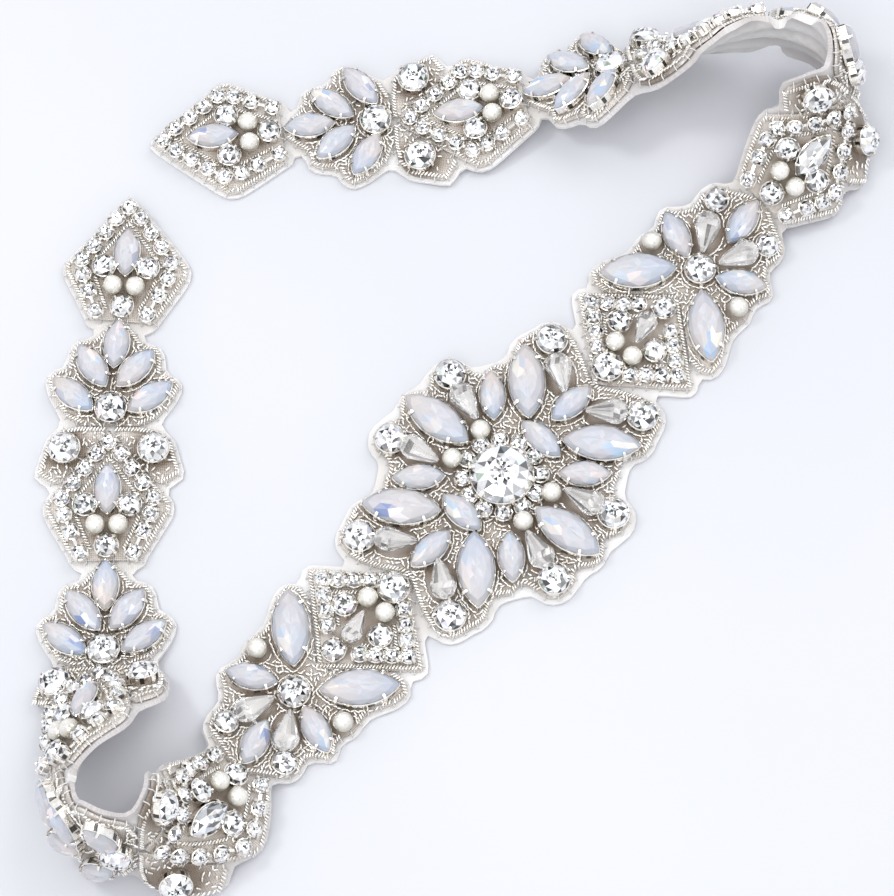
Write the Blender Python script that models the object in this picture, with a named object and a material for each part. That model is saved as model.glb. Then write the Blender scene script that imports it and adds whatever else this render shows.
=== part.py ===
"""Bridal sash: a beaded applique belt, laid face up in a Z whose two bends stand on edge.

The belt is drawn flat, in millimetres: s runs along it from the centre stone, t across it
and h out of its face. lay() then bends that flat drawing into the laid belt, in metres.
Each half of the belt is the other one turned half round, so one table serves both.
"""
import math

import bmesh
import bpy
import numpy as np
from mathutils import Vector
from mathutils.geometry import delaunay_2d_cdt

MM = 0.001

# ---- The cloth, in millimetres
BACKING_THICK = 1.0
SEAM = 0.3
GROUND_THICK = 1.0
GROUND_LOW = BACKING_THICK + SEAM
GROUND_TOP = GROUND_LOW + GROUND_THICK
EAR_REACH = 14.6          # half-width at the ears, on which a standing stretch rests

# ---- The motifs' places along the belt, in millimetres
SQUARE_AT = 38.6
FLOWER_AT = 58.4
FIRST_DIAMOND_AT = 88.2
REPEAT = 49.4
DIAMONDS = 4

# ---- Where the centre stone lies, in millimetres, so that the laid belt is centred
MIDDLE_X = 7.52
MIDDLE_Y = -5.38

# ---- How the belt lies: heading of its length on the floor and roll about it, in degrees
COURSE = (
    # along, heading, roll
    (-250, -89.0, 0), (-225, -96.0, 0), (-200, -90.0, 0), (-175, -89.0, 0),
    (-162, -89.0, 0), (-155, -90.0, 3), (-149, -91.0, 13), (-142, -101.0, 37),
    (-135, -117.0, 55), (-128, -108.0, 64), (-122, -77.0, 74), (-116, -44.0, 82),
    (-110, -14.0, 82), (-104, 4.0, 67), (-98, 28.0, 48), (-90, 54.0, 32),
    (-80, 64.0, 14), (-70, 58.0, 2), (-60, 49.0, 0), (-45, 47.5, 0), (45, 47.5, 0),
    (60, 50.0, 0), (75, 47.0, 12), (89, 42.0, 29), (99, 58.0, 52),
    (108, 101.0, 75), (118, 158.0, 87), (128, 189.0, 85), (138, 198.0, 71),
    (148, 194.0, 50), (158, 188.0, 34), (172, 191.0, 14), (186, 189.0, 2),
    (202, 184.0, 0), (225, 188.0, 0), (250, 183.0, 0),
)
COURSE_STEP = 0.5
COURSE_END = 256.0
COURSE_SOFTNESS = 12.0    # length over which the course's corners are rounded

# ---- Mesh spacing on the bent stretches, in millimetres
CELL_ALONG = 3.3
CELL_ACROSS = 4.2
EDGE_STEP = 3.1
CELL_CLEAR = 0.4
ROLL_IS_FLAT = math.radians(1.0)

# ---- Stones: length and width at the girdle, then (scale, height) of each ring above the cloth
STONES = {
    # kind: (length, width, sides, rings)
    "large_navette": (15.0, 7.0, 10, ((0.90, 0.0), (1.0, 2.5), (0.55, 4.1))),
    "small_navette": (10.0, 5.0, 10, ((0.88, 0.0), (1.0, 2.0), (0.55, 3.3))),
    "centre_stone": (12.0, 12.0, 14, ((0.90, 0.0), (1.0, 2.8), (0.55, 5.0))),
    "round_stone": (5.6, 5.6, 8, ((0.86, 0.0), (1.0, 1.9), (0.55, 3.2))),
    "little_round": (4.4, 4.4, 8, ((0.86, 0.0), (1.0, 1.7), (0.55, 2.8))),
    "pearl": (4.0, 4.0, 8, ((0.60, 0.0), (1.0, 1.9), (0.50, 3.7))),
    "drop": (7.0, 5.0, 8, ((0.60, 0.0), (1.0, 2.2), (0.50, 4.4))),
    "small_drop": (6.4, 3.8, 8, ((0.60, 0.0), (1.0, 1.9), (0.50, 3.6))),
}
CHAIN_HALF = 1.35         # half-width of the cup-chain ridge
CHAIN_HEIGHT = 2.2
MITRE_MOST = 1.1

# ---- Motif tables. Outlines are (along, across); stones are (kind, along, across, turn).
# Those given for one side only are mirrored by both_sides().
MEDALLION_HALF_OUTLINE = (
    (26.2, 0.0), (29.3, 5.2), (31.0, 9.2), (31.2, 12.8), (29.6, 15.2), (26.4, 15.9),
    (24.2, 16.7), (22.2, 16.5), (18.9, 14.6), (17.3, 16.0), (15.8, 17.3), (13.4, 16.8),
    (12.3, 19.2), (12.2, 22.6), (9.6, 24.9), (6.0, 24.4), (3.9, 22.4), (1.6, 24.7),
    (-0.8, 25.5), (-2.7, 24.2), (-4.4, 22.4), (-6.6, 24.2), (-9.8, 24.2), (-12.2, 22.2),
    (-12.0, 18.4), (-13.6, 16.9), (-15.8, 16.5), (-17.0, 14.8), (-19.4, 15.0),
    (-21.7, 17.1), (-24.3, 16.8), (-26.2, 15.9), (-29.6, 15.4), (-31.2, 12.8),
    (-31.0, 9.2), (-29.3, 5.2),
)
MEDALLION_HALF_STONES = (
    # kind, along, across, turn
    ("large_navette", 0.0, 16.9, 95), ("large_navette", 17.5, 9.3, 45),
    ("large_navette", 17.8, -9.8, -52), ("small_navette", 11.0, 12.4, 46),
    ("small_navette", 20.1, 0.0, -4), ("small_navette", 10.7, -0.6, 88),
    ("small_navette", 11.0, -11.5, -46), ("drop", 6.5, 15.1, 72),
    ("drop", -7.0, 14.9, 104), ("drop", 23.2, 5.7, 54), ("drop", 23.4, -6.2, -52),
    ("round_stone", 8.7, 21.4, 0), ("round_stone", -8.8, 20.9, 0),
    ("round_stone", 27.5, 11.7, 0), ("round_stone", 27.5, -11.8, 0),
    ("pearl", 4.1, 9.3, 0), ("pearl", -3.9, 9.4, 0),
)
RING_RADIUS = 7.1
RING_HALF = 0.75
RING_POINTS = 16

SQUARE_OUTLINE = ((-12.1, 0.0), (0.0, 15.0), (13.0, 0.0), (0.0, -15.0))
SQUARE_STONES = (
    ("round_stone", -8.0, 0.0, 0), ("pearl", -3.2, 2.2, 0), ("pearl", -3.2, -2.2, 0),
    ("little_round", 0.7, 4.6, 0), ("little_round", 0.7, -4.6, 0),
    ("small_drop", 2.7, 0.0, 15), ("little_round", 8.7, 0.0, 0),
)
SQUARE_CHAIN = ((-6.2, 4.3), (0.0, 11.2), (6.0, 4.2))

FLOWER_SIDE = (
    (-6.34, 0.0), (-15.8, 10.9), (-16.2, 13.6), (-14.7, 15.8), (-11.6, 15.5),
    (-6.8, 12.7), (-3.6, 13.0), (-1.8, 13.5), (0.4, 12.4), (2.4, 12.4), (4.4, 13.5),
    (6.2, 13.0), (7.3, 10.9), (9.4, 9.4), (12.4, 9.9), (15.2, 9.0), (16.5, 6.2),
    (18.7, 2.2),
)
FLOWER_STONES = (
    ("round_stone", 0.0, 0.0, 0),
    ("large_navette", -8.8, 8.8, 134), ("large_navette", -8.8, -8.8, -134),
    ("pearl", -1.7, 10.9, 0), ("pearl", -1.7, -10.9, 0),
    ("small_navette", 3.0, 8.0, 66), ("small_navette", 3.0, -8.0, -63),
    ("drop", 7.1, 3.9, 28), ("drop", 7.1, -3.9, -28),
    ("little_round", 13.2, 6.8, 0), ("little_round", 12.8, -6.6, 0),
    ("small_navette", 13.2, 0.1, 8),
)

DIAMOND_SIDE = ((-10.8, 6.6), (-1.0, 12.0), (0.8, 12.0), (14.9, 0.6))
DIAMOND_STONES = (
    ("small_navette", 3.0, 0.0, 0), ("little_round", 0.0, 4.3, 0),
    ("little_round", 0.0, -4.3, 0), ("pearl", -4.2, 2.2, 0), ("pearl", -4.2, -2.2, 0),
    ("little_round", -8.3, 0.0, 0),
)
DIAMOND_CHAIN = (
    (-9.6, 5.1), (-5.4, 6.9), (-2.0, 8.3), (1.3, 8.8), (4.4, 6.7), (7.4, 4.5),
    (10.4, 2.4), (12.9, 0.0),
)

# An ear and a spray are measured from their diamond's place.
EAR_OUTLINE = (
    (4.2, 9.72), (6.8, 13.9), (10.2, 12.8), (13.6, 11.9), (15.7, 9.2), (16.3, 5.4),
    (16.3, 0.9), (14.9, 1.1),
)
EAR_STONES = (("round_stone", 11.5, 8.6, 0),)
SPRAY_SIDE = (
    (16.65, 5.4), (18.1, 8.6), (22.4, 11.8), (25.4, 12.9), (27.1, 11.6), (28.0, 9.1),
    (31.8, 8.8), (33.5, 7.7), (33.8, 5.0), (36.0, 3.2), (38.3, 0.9),
)
SPRAY_STONES = (
    ("round_stone", 19.8, 0.0, 0), ("small_navette", 33.0, 0.0, 0),
    ("small_navette", 28.1, 4.2, 38), ("small_navette", 28.1, -4.2, -38),
    ("small_navette", 22.2, 7.5, 54), ("small_navette", 22.2, -7.5, -54),
)

# Half-widths of the backing, a little outside the motifs: (along, half-width)
MIDDLE_WIDTHS = (
    (0.0, 26.2), (3.4, 25.0), (6.0, 25.5), (9.8, 25.8), (12.9, 23.4), (13.2, 19.8),
    (15.6, 18.3), (18.0, 16.8), (20.0, 16.6), (22.0, 17.8), (24.6, 17.7), (26.2, 17.0),
)
RUN_WIDTHS = (
    (26.5, 16.9), (30.0, 16.0), (31.9, 14.0), (32.2, 11.0), (33.3, 10.2), (37.6, 15.8),
    (39.6, 15.8), (41.7, 14.2), (43.3, 16.6), (46.8, 16.5), (51.8, 13.8), (54.8, 13.9),
    (56.6, 14.3), (58.8, 13.3), (60.6, 13.2), (62.8, 14.4), (64.8, 13.9), (66.2, 11.6),
    (68.0, 10.2), (70.8, 10.8), (73.8, 9.9), (75.4, 7.0), (77.1, 6.9),
)
REPEAT_WIDTHS = (
    # measured from the diamond's place
    (-10.8, 7.3), (-1.4, 12.7), (1.2, 12.7), (3.6, 10.8), (6.0, 14.4), (7.2, 14.6),
    (10.8, 13.4), (14.0, 12.6), (16.4, 10.2), (17.8, 9.6), (22.0, 12.4), (25.6, 13.7),
    (27.7, 12.2), (28.6, 9.9), (32.2, 9.5), (34.2, 8.2), (34.6, 5.6), (36.4, 4.4),
    (37.4, 7.0), (38.3, 7.2),
)
END_WIDTHS = ((-10.8, 7.3), (-1.4, 12.7), (1.2, 12.7), (15.7, 0.8))

FINISHES = {
    # name: (colour, roughness, metallic)
    "backing_cloth": ((0.90, 0.89, 0.87), 0.75, 0.0),
    "jewelled_ground": ((0.74, 0.71, 0.67), 0.30, 0.2),
}


# ---- How the flat drawing is laid out on the floor

def smoothed(values, window):
    """Values on the course's grid, averaged over a bell of the given length."""
    count = int(window / COURSE_STEP) | 1
    bell = np.hanning(count + 2)[1:-1]
    padded = np.pad(values, count // 2, mode="edge")
    return np.convolve(padded, bell / bell.sum(), mode="valid")


def walk_course():
    """The course's grid: along, heading, roll, and the plan of its centre line."""
    along = np.arange(-COURSE_END, COURSE_END + COURSE_STEP / 2, COURSE_STEP)
    stations, headings, rolls = np.array(COURSE, dtype=float).T
    heading = np.radians(smoothed(np.interp(along, stations, headings), COURSE_SOFTNESS))
    roll = np.radians(smoothed(np.interp(along, stations, rolls), COURSE_SOFTNESS))
    middle = len(along) // 2
    climb = np.gradient(EAR_REACH * np.sin(roll), COURSE_STEP)
    level = np.sqrt(1 - climb ** 2)
    plan = []
    for step, start in ((np.cos(heading) * level, MIDDLE_X), (np.sin(heading) * level, MIDDLE_Y)):
        line = np.concatenate([[0.0], np.cumsum((step[1:] + step[:-1]) * COURSE_STEP / 2)])
        plan.append(line - line[middle] + start)
    return along, heading, roll, plan[0], plan[1]


ALONG, HEADING, ROLL, PLAN_X, PLAN_Y = walk_course()


def on_sheet(s, t):
    """Points of the belt's underside, in millimetres: the rolled edge stays on the floor."""
    heading = np.interp(s, ALONG, HEADING)
    roll = np.interp(s, ALONG, ROLL)
    x = np.interp(s, ALONG, PLAN_X) - t * np.sin(heading) * np.cos(roll)
    y = np.interp(s, ALONG, PLAN_Y) + t * np.cos(heading) * np.cos(roll)
    z = (EAR_REACH + t) * np.sin(roll)
    return np.stack([x, y, z], axis=-1)


def frame_at(s, t):
    """Unit vectors along, across and out of the belt at its underside."""
    step = 0.5
    along = on_sheet(s + step, t) - on_sheet(s - step, t)
    across = on_sheet(s, t + step) - on_sheet(s, t - step)
    out = np.cross(along, across)
    out /= np.linalg.norm(out, axis=-1, keepdims=True)
    along /= np.linalg.norm(along, axis=-1, keepdims=True)
    return along, np.cross(out, along), out


def lay(points, height):
    """Flat (s, t) points, raised by height, as millimetres on the laid belt."""
    s, t = np.asarray(points, dtype=float).T
    return on_sheet(s, t) + frame_at(s, t)[2] * height


# ---- Flat drawing helpers

def both_sides(side):
    """A closed outline from its +t side: the other side is its mirror image."""
    mirrored = [(u, -v) for u, v in reversed(side) if abs(v) > 1e-6]
    return list(side) + mirrored


def turned(points):
    """Points turned half round about the centre stone."""
    return [(-s, -t) for s, t in points]


def place(points, at, side):
    """Motif points, moved to their place on the +s half (side 1) or the -s half (-1)."""
    moved = [(at + u, v) for u, v in points]
    return moved if side > 0 else turned(moved)


def place_stones(stones, at, side):
    """Stones of a motif, as (kind, s, t, turn in radians) on the chosen half."""
    placed = []
    for kind, u, v, turn in stones:
        s, t = place([(u, v)], at, side)[0]
        placed.append((kind, s, t, math.radians(turn)))
    return placed


def is_rolled(s):
    """Whether the belt is rolled at a place along it."""
    return np.interp(s, ALONG, ROLL) > ROLL_IS_FLAT


def subdivided(outline):
    """The closed outline, its long edges divided where the belt is rolled."""
    dense = []
    for start, end in zip(outline, list(outline[1:]) + [outline[0]]):
        rolled = is_rolled(start[0]) or is_rolled(end[0])
        parts = math.ceil(math.dist(start, end) / EDGE_STEP) if rolled else 1
        for k in range(parts):
            part = k / parts
            dense.append(tuple(a + (b - a) * part for a, b in zip(start, end)))
    return dense


def signed_area(loop):
    s, t = np.array(loop).T
    return 0.5 * float(np.sum(s * np.roll(t, -1) - np.roll(s, -1) * t))


def inside(point, loop):
    """Whether a point is inside a closed loop, by counting crossings."""
    s, t = point
    odd = False
    for (s0, t0), (s1, t1) in zip(loop, list(loop[1:]) + [loop[0]]):
        if (t0 > t) != (t1 > t) and s < s0 + (t - t0) / (t1 - t0) * (s1 - s0):
            odd = not odd
    return odd


def edge_distance(point, loop):
    """Distance from a point to the nearest edge of a closed loop."""
    p = np.array(point)
    a = np.array(loop)
    b = np.roll(a, -1, axis=0)
    edge = b - a
    part = np.clip(((p - a) * edge).sum(1) / np.maximum((edge ** 2).sum(1), 1e-12), 0, 1)
    return float(np.linalg.norm(a + edge * part[:, None] - p, axis=1).min())


def cells(outline, holes):
    """Staggered grid points where the belt is rolled, clear of an outline and its holes."""
    s, t = np.array(outline).T
    rows = np.arange(math.floor(s.min() / CELL_ALONG), math.ceil(s.max() / CELL_ALONG) + 1)
    columns = np.arange(math.floor(t.min() / CELL_ACROSS), math.ceil(t.max() / CELL_ACROSS) + 1)
    found = []
    for row in rows:
        if not is_rolled(row * CELL_ALONG):
            continue
        for column in columns:
            point = (row * CELL_ALONG, (column + row % 2 / 2) * CELL_ACROSS)
            if not inside(point, outline) or edge_distance(point, outline) < CELL_CLEAR:
                continue
            if any(inside(point, h) or edge_distance(point, h) < CELL_CLEAR for h in holes):
                continue
            found.append(point)
    return found


def stone_loop(kind, s, t, turn, scale):
    """A stone's outline in the flat drawing: pointed for a navette, else an oval."""
    length, width, sides, _ = STONES[kind]
    loop = []
    for k in range(sides):
        angle = 2 * math.pi * k / sides
        u = math.cos(angle) * length / 2 * scale
        v = math.sin(angle) * width / 2 * scale
        if "navette" in kind:
            v *= abs(math.sin(angle))
        loop.append((s + u * math.cos(turn) - v * math.sin(turn),
                     t + u * math.sin(turn) + v * math.cos(turn)))
    return loop


def ridge_loop(line):
    """The outline of a ridge of the chain's width along an open line of points."""
    points = np.array(line)
    steps = np.diff(points, axis=0)
    steps /= np.linalg.norm(steps, axis=1, keepdims=True)
    before = np.vstack([steps[:1], steps])
    after = np.vstack([steps, steps[-1:]])
    mean = before + after
    mean /= np.linalg.norm(mean, axis=1, keepdims=True)
    spread = np.minimum(1 / (mean * after).sum(1), MITRE_MOST) * CHAIN_HALF
    aside = np.stack([-mean[:, 1], mean[:, 0]], axis=1) * spread[:, None]
    loop = [tuple(p) for p in points - aside] + [tuple(p) for p in (points + aside)[::-1]]
    return loop


def ring_loops():
    """Two half rings of small stones round the centre stone, parted by a narrow gap."""
    loops = []
    for start in (0.0, math.pi):
        angles = [start + math.pi * (k + 0.35) / (RING_POINTS / 2 + 0.7)
                  for k in range(RING_POINTS // 2 + 1)]
        outer = [(math.cos(a), math.sin(a)) for a in angles]
        loop = [(x * (RING_RADIUS + RING_HALF), y * (RING_RADIUS + RING_HALF)) for x, y in outer]
        loop += [(x * (RING_RADIUS - RING_HALF), y * (RING_RADIUS - RING_HALF))
                 for x, y in reversed(outer)]
        loops.append(loop)
    return loops


# ---- Solids

def triangulate(outline, holes, points):
    """Triangles of an outline, each with the hole it lies in, or -1."""
    loops = [outline] + holes
    flat = [p for loop in loops for p in loop] + list(points)
    faces = []
    start = 0
    for loop in loops:
        faces.append(list(range(start, start + len(loop))))
        start += len(loop)
    out = delaunay_2d_cdt([Vector(p) for p in flat], [], faces, 1, 1e-5)
    verts, _, triangles, from_verts, _, from_faces = out
    number = {}
    for index, sources in enumerate(from_verts):
        for source in sources:
            number[source] = index
    owner = [max(f) - 1 if len(f) > 1 else -1 for f in from_faces]
    return [tuple(v) for v in verts], triangles, owner, [[number[i] for i in f] for f in faces]


def wall(mesh, low, high):
    """A band of faces between two rings with as many points."""
    count = len(low)
    for k in range(count):
        mesh.faces.new((low[k], low[(k + 1) % count], high[(k + 1) % count], high[k]))


def raise_stone(mesh, base, stone):
    """Rings of a rigid stone over its base loop, closed by a flat table."""
    kind, s, t, turn = stone
    along, across, out = frame_at(np.array([s]), np.array([t]))
    centre = lay([(s, t)], GROUND_TOP)[0]
    ring = base
    for scale, height in STONES[kind][3][1:]:
        above = []
        for u, v in stone_loop(kind, 0.0, 0.0, turn, scale):
            point = centre + along[0] * u + across[0] * v + out[0] * height
            above.append(mesh.verts.new(Vector(point) * MM))
        wall(mesh, ring, above)
        ring = above
    mesh.faces.new(ring)


def make_solid(name, outline, low, thick, finish, stones=(), ridges=()):
    """A wall of cloth on the belt, plain below, its stones and ridges raised above."""
    if signed_area(outline) < 0:
        outline = outline[::-1]
    outline = subdivided(outline)
    footprints = [stone_loop(kind, s, t, turn, STONES[kind][3][0][0])
                  for kind, s, t, turn in stones]
    holes = footprints + [list(ridge) for ridge in ridges]
    mesh = bmesh.new()

    verts, triangles, _, loops = triangulate(outline, [], cells(outline, []))
    under = [mesh.verts.new(Vector(p) * MM) for p in lay(verts, low)]
    for a, b, c in triangles:
        mesh.faces.new((under[c], under[b], under[a]))
    under_edge = [under[i] for i in loops[0]]

    verts, triangles, owner, loops = triangulate(outline, holes, cells(outline, holes))
    top = [mesh.verts.new(Vector(p) * MM) for p in lay(verts, low + thick)]
    on_ridge = {i for f, o in zip(triangles, owner) if o >= len(stones) for i in f}
    places = lay(verts, low + thick + CHAIN_HEIGHT)
    crest = {i: mesh.verts.new(Vector(places[i]) * MM) for i in on_ridge}
    for triangle, hole in zip(triangles, owner):
        if hole < 0:
            mesh.faces.new([top[i] for i in triangle])
        elif hole >= len(stones):
            mesh.faces.new([crest[i] for i in triangle])
    for stone, loop in zip(stones, loops[1:]):
        raise_stone(mesh, [top[i] for i in loop], stone)
    for loop in loops[1 + len(stones):]:
        wall(mesh, [top[i] for i in loop], [crest[i] for i in loop])
    wall(mesh, under_edge, [top[i] for i in loops[0]])

    loose = [v for v in mesh.verts if not v.link_faces]
    bmesh.ops.delete(mesh, geom=loose, context="VERTS")
    bmesh.ops.triangulate(mesh, faces=[f for f in mesh.faces if len(f.verts) > 3])
    bmesh.ops.recalc_face_normals(mesh, faces=mesh.faces)
    data = bpy.data.meshes.new(name)
    mesh.to_mesh(data)
    mesh.free()
    data.materials.append(finish)
    solid = bpy.data.objects.new(name, data)
    bpy.context.scene.collection.objects.link(solid)


def make_finish(name):
    colour, roughness, metallic = FINISHES[name]
    finish = bpy.data.materials.new(name)
    finish.use_nodes = True
    shader = finish.node_tree.nodes["Principled BSDF"]
    shader.inputs["Base Color"].default_value = (*colour, 1.0)
    shader.inputs["Roughness"].default_value = roughness
    shader.inputs["Metallic"].default_value = metallic
    return finish


def make_backing(name, widths, at, side, cloth):
    make_solid(name, place(both_sides(widths), at, side), 0.0, BACKING_THICK, cloth)


def make_applique(name, outline, at, side, finish, stones, ridges=()):
    make_solid(name, place(outline, at, side), GROUND_LOW, GROUND_THICK, finish,
               place_stones(stones, at, side), [place(r, at, side) for r in ridges])


def build_middle(cloth, jewelled):
    """The medallion, whose second half is the first turned half round."""
    widths = [(-s, w) for s, w in reversed(MIDDLE_WIDTHS)] + list(MIDDLE_WIDTHS[1:])
    make_backing("backing_middle", widths, 0.0, 1, cloth)
    outline = list(MEDALLION_HALF_OUTLINE) + turned(MEDALLION_HALF_OUTLINE)
    stones = place_stones(MEDALLION_HALF_STONES, 0.0, 1)
    stones += place_stones(MEDALLION_HALF_STONES, 0.0, -1)
    stones.append(("centre_stone", 0.0, 0.0, 0.0))
    make_solid("applique_medallion", outline, GROUND_LOW, GROUND_THICK, jewelled,
               stones, ring_loops())


def build_run(half, side, cloth, jewelled):
    """The square and the flower between the medallion and the first diamond."""
    make_backing(f"backing_{half}_run", RUN_WIDTHS, 0.0, side, cloth)
    chain = ridge_loop(SQUARE_CHAIN)
    mirrored = [(u, -v) for u, v in reversed(chain)]
    make_applique(f"applique_{half}_square", list(SQUARE_OUTLINE), SQUARE_AT, side,
                  jewelled, SQUARE_STONES, (chain, mirrored))
    make_applique(f"applique_{half}_flower", both_sides(FLOWER_SIDE), FLOWER_AT, side,
                  jewelled, FLOWER_STONES)


def build_repeats(half, side, cloth, jewelled):
    """The diamonds with their ears and sprays, out to the free end."""
    chain = ridge_loop(both_sides(DIAMOND_CHAIN))
    for number in range(1, DIAMONDS + 1):
        at = FIRST_DIAMOND_AT + REPEAT * (number - 1)
        last = number == DIAMONDS
        widths = END_WIDTHS if last else REPEAT_WIDTHS
        make_backing(f"backing_{half}_{number}", widths, at, side, cloth)
        make_applique(f"applique_{half}_diamond_{number}", both_sides(DIAMOND_SIDE), at,
                      side, jewelled, DIAMOND_STONES, (chain,))
        if last:
            continue
        for edge, sign in (("in", side), ("out", -side)):
            ear = [(u, v * sign) for u, v in EAR_OUTLINE]
            stones = [(kind, u, v * sign, turn) for kind, u, v, turn in EAR_STONES]
            make_applique(f"applique_{half}_ear_{number}_{edge}", ear, at, side, jewelled,
                          stones)
        make_applique(f"applique_{half}_spray_{number}", both_sides(SPRAY_SIDE), at, side,
                      jewelled, SPRAY_STONES)


def main():
    for old in list(bpy.data.objects):
        bpy.data.objects.remove(old, do_unlink=True)
    cloth = make_finish("backing_cloth")
    jewelled = make_finish("jewelled_ground")
    build_middle(cloth, jewelled)
    for half, side in (("left", -1), ("right", 1)):
        build_run(half, side, cloth, jewelled)
        build_repeats(half, side, cloth, jewelled)


main()
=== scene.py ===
# %% [markdown]
# # A beaded bridal sash
# A bridal sash of this kind is a strip of pale cloth, about half a metre long, with stones,
# pearls and beads sewn on it motif by motif. This one lies face up in a Z: its middle runs
# slantwise, and at each end of that run the strip stands on its edge and turns back.
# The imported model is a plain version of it. It is loaded first, and every piece made below
# takes its place from the same drawing, so nothing has to be fitted afterwards.

# %% Load the frame
import math

import bmesh
import bpy
import numpy as np
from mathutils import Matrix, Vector
from mathutils.geometry import delaunay_2d_cdt


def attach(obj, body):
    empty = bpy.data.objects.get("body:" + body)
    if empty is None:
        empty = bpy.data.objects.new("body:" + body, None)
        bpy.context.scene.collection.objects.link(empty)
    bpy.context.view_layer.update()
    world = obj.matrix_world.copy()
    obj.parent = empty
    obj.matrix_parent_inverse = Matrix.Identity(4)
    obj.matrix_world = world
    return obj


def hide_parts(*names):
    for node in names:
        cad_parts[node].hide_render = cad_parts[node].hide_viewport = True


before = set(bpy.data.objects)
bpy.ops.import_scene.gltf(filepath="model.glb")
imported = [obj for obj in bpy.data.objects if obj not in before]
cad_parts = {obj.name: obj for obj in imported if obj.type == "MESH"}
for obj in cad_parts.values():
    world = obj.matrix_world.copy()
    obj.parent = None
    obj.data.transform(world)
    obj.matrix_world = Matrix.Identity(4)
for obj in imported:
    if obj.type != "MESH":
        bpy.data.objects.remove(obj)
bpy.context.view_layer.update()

MM = 0.001

# %% [markdown]
# ## One drawing for the whole strip
# Everything is drawn on the strip as if it lay straight: s runs along it from the centre
# stone, t runs across it, and h rises out of its face, all in millimetres. The table says how
# the straight strip is laid: the heading of its length on the floor, and how far it is rolled
# about that length. Where it is rolled, its lower edge stays on the floor.
# The alternative, modelling each motif where it lies, would mean bending fifty shapes by hand.

# %% How the strip lies
MIDDLE_X, MIDDLE_Y = 7.52, -5.38        # where the centre stone lies
EAR_REACH = 14.6                        # half-width on which a standing stretch rests
COURSE = (
    # along, heading, roll
    (-250, -89.0, 0), (-225, -96.0, 0), (-200, -90.0, 0), (-175, -89.0, 0),
    (-162, -89.0, 0), (-155, -90.0, 3), (-149, -91.0, 13), (-142, -101.0, 37),
    (-135, -117.0, 55), (-128, -108.0, 64), (-122, -77.0, 74), (-116, -44.0, 82),
    (-110, -14.0, 82), (-104, 4.0, 67), (-98, 28.0, 48), (-90, 54.0, 32),
    (-80, 64.0, 14), (-70, 58.0, 2), (-60, 49.0, 0), (-45, 47.5, 0), (45, 47.5, 0),
    (60, 50.0, 0), (75, 47.0, 12), (89, 42.0, 29), (99, 58.0, 52),
    (108, 101.0, 75), (118, 158.0, 87), (128, 189.0, 85), (138, 198.0, 71),
    (148, 194.0, 50), (158, 188.0, 34), (172, 191.0, 14), (186, 189.0, 2),
    (202, 184.0, 0), (225, 188.0, 0), (250, 183.0, 0),
)
COURSE_STEP, COURSE_END, COURSE_SOFTNESS = 0.5, 256.0, 12.0


def smoothed(values):
    """Values on the course's grid, averaged over a bell that rounds its corners."""
    count = int(COURSE_SOFTNESS / COURSE_STEP) | 1
    bell = np.hanning(count + 2)[1:-1]
    padded = np.pad(values, count // 2, mode="edge")
    return np.convolve(padded, bell / bell.sum(), mode="valid")


ALONG = np.arange(-COURSE_END, COURSE_END + COURSE_STEP / 2, COURSE_STEP)
stations, headings, rolls = np.array(COURSE, dtype=float).T
HEADING = np.radians(smoothed(np.interp(ALONG, stations, headings)))
ROLL = np.radians(smoothed(np.interp(ALONG, stations, rolls)))
print("highest roll, degrees:", round(float(np.degrees(ROLL.max()))))

# %% Walk the centre line
def walked(steps, start):
    """A coordinate of the centre line, from the steps it takes along its length."""
    line = np.concatenate([[0.0], np.cumsum((steps[1:] + steps[:-1]) * COURSE_STEP / 2)])
    return line - line[len(ALONG) // 2] + start


CLIMB = np.gradient(EAR_REACH * np.sin(ROLL), COURSE_STEP)
LEVEL = np.sqrt(1 - CLIMB ** 2)         # a climbing stretch covers less of the floor
PLAN_X = walked(np.cos(HEADING) * LEVEL, MIDDLE_X)
PLAN_Y = walked(np.sin(HEADING) * LEVEL, MIDDLE_Y)
print("the left end lies at, mm:", round(PLAN_X[0], 1), round(PLAN_Y[0], 1))

# %% Lay points on the strip
def on_sheet(s, t):
    """Points of the strip's underside."""
    heading, roll = np.interp(s, ALONG, HEADING), np.interp(s, ALONG, ROLL)
    level = t * np.cos(roll)
    x = np.interp(s, ALONG, PLAN_X) - np.sin(heading) * level
    y = np.interp(s, ALONG, PLAN_Y) + np.cos(heading) * level
    return np.stack([x, y, (EAR_REACH + t) * np.sin(roll)], axis=-1)


def unit(vectors):
    """Vectors of length 1."""
    return vectors / np.linalg.norm(vectors, axis=-1, keepdims=True)


def frame_at(s, t, step=0.5):
    """Unit vectors along, across and out of the strip."""
    along = unit(on_sheet(s + step, t) - on_sheet(s - step, t))
    across = on_sheet(s, t + step) - on_sheet(s, t - step)
    out = unit(np.cross(along, across))
    return along, np.cross(out, along), out


def lay(points, height):
    """Points of the straight drawing, raised by a height, on the laid strip."""
    s, t = np.asarray(points, dtype=float).T
    return on_sheet(s, t) + frame_at(s, t)[2] * np.broadcast_to(height, len(s))[:, None]


print("a point 1 mm above the middle lies at, mm:", lay([(0.0, 0.0)], 1.0)[0])

# %% [markdown]
# ## The motifs
# A centre medallion is followed on each side by a square, a flower, and then diamonds with a
# spray of leaf-shaped stones between them and a round stone at each shoulder, the ears. One
# half of the strip is the other one turned half round, so each motif is drawn once, about its
# own place, and the functions below put it on either half.
# Outlines hold (along, across); stones hold (kind, along, across, turn in degrees).

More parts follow.
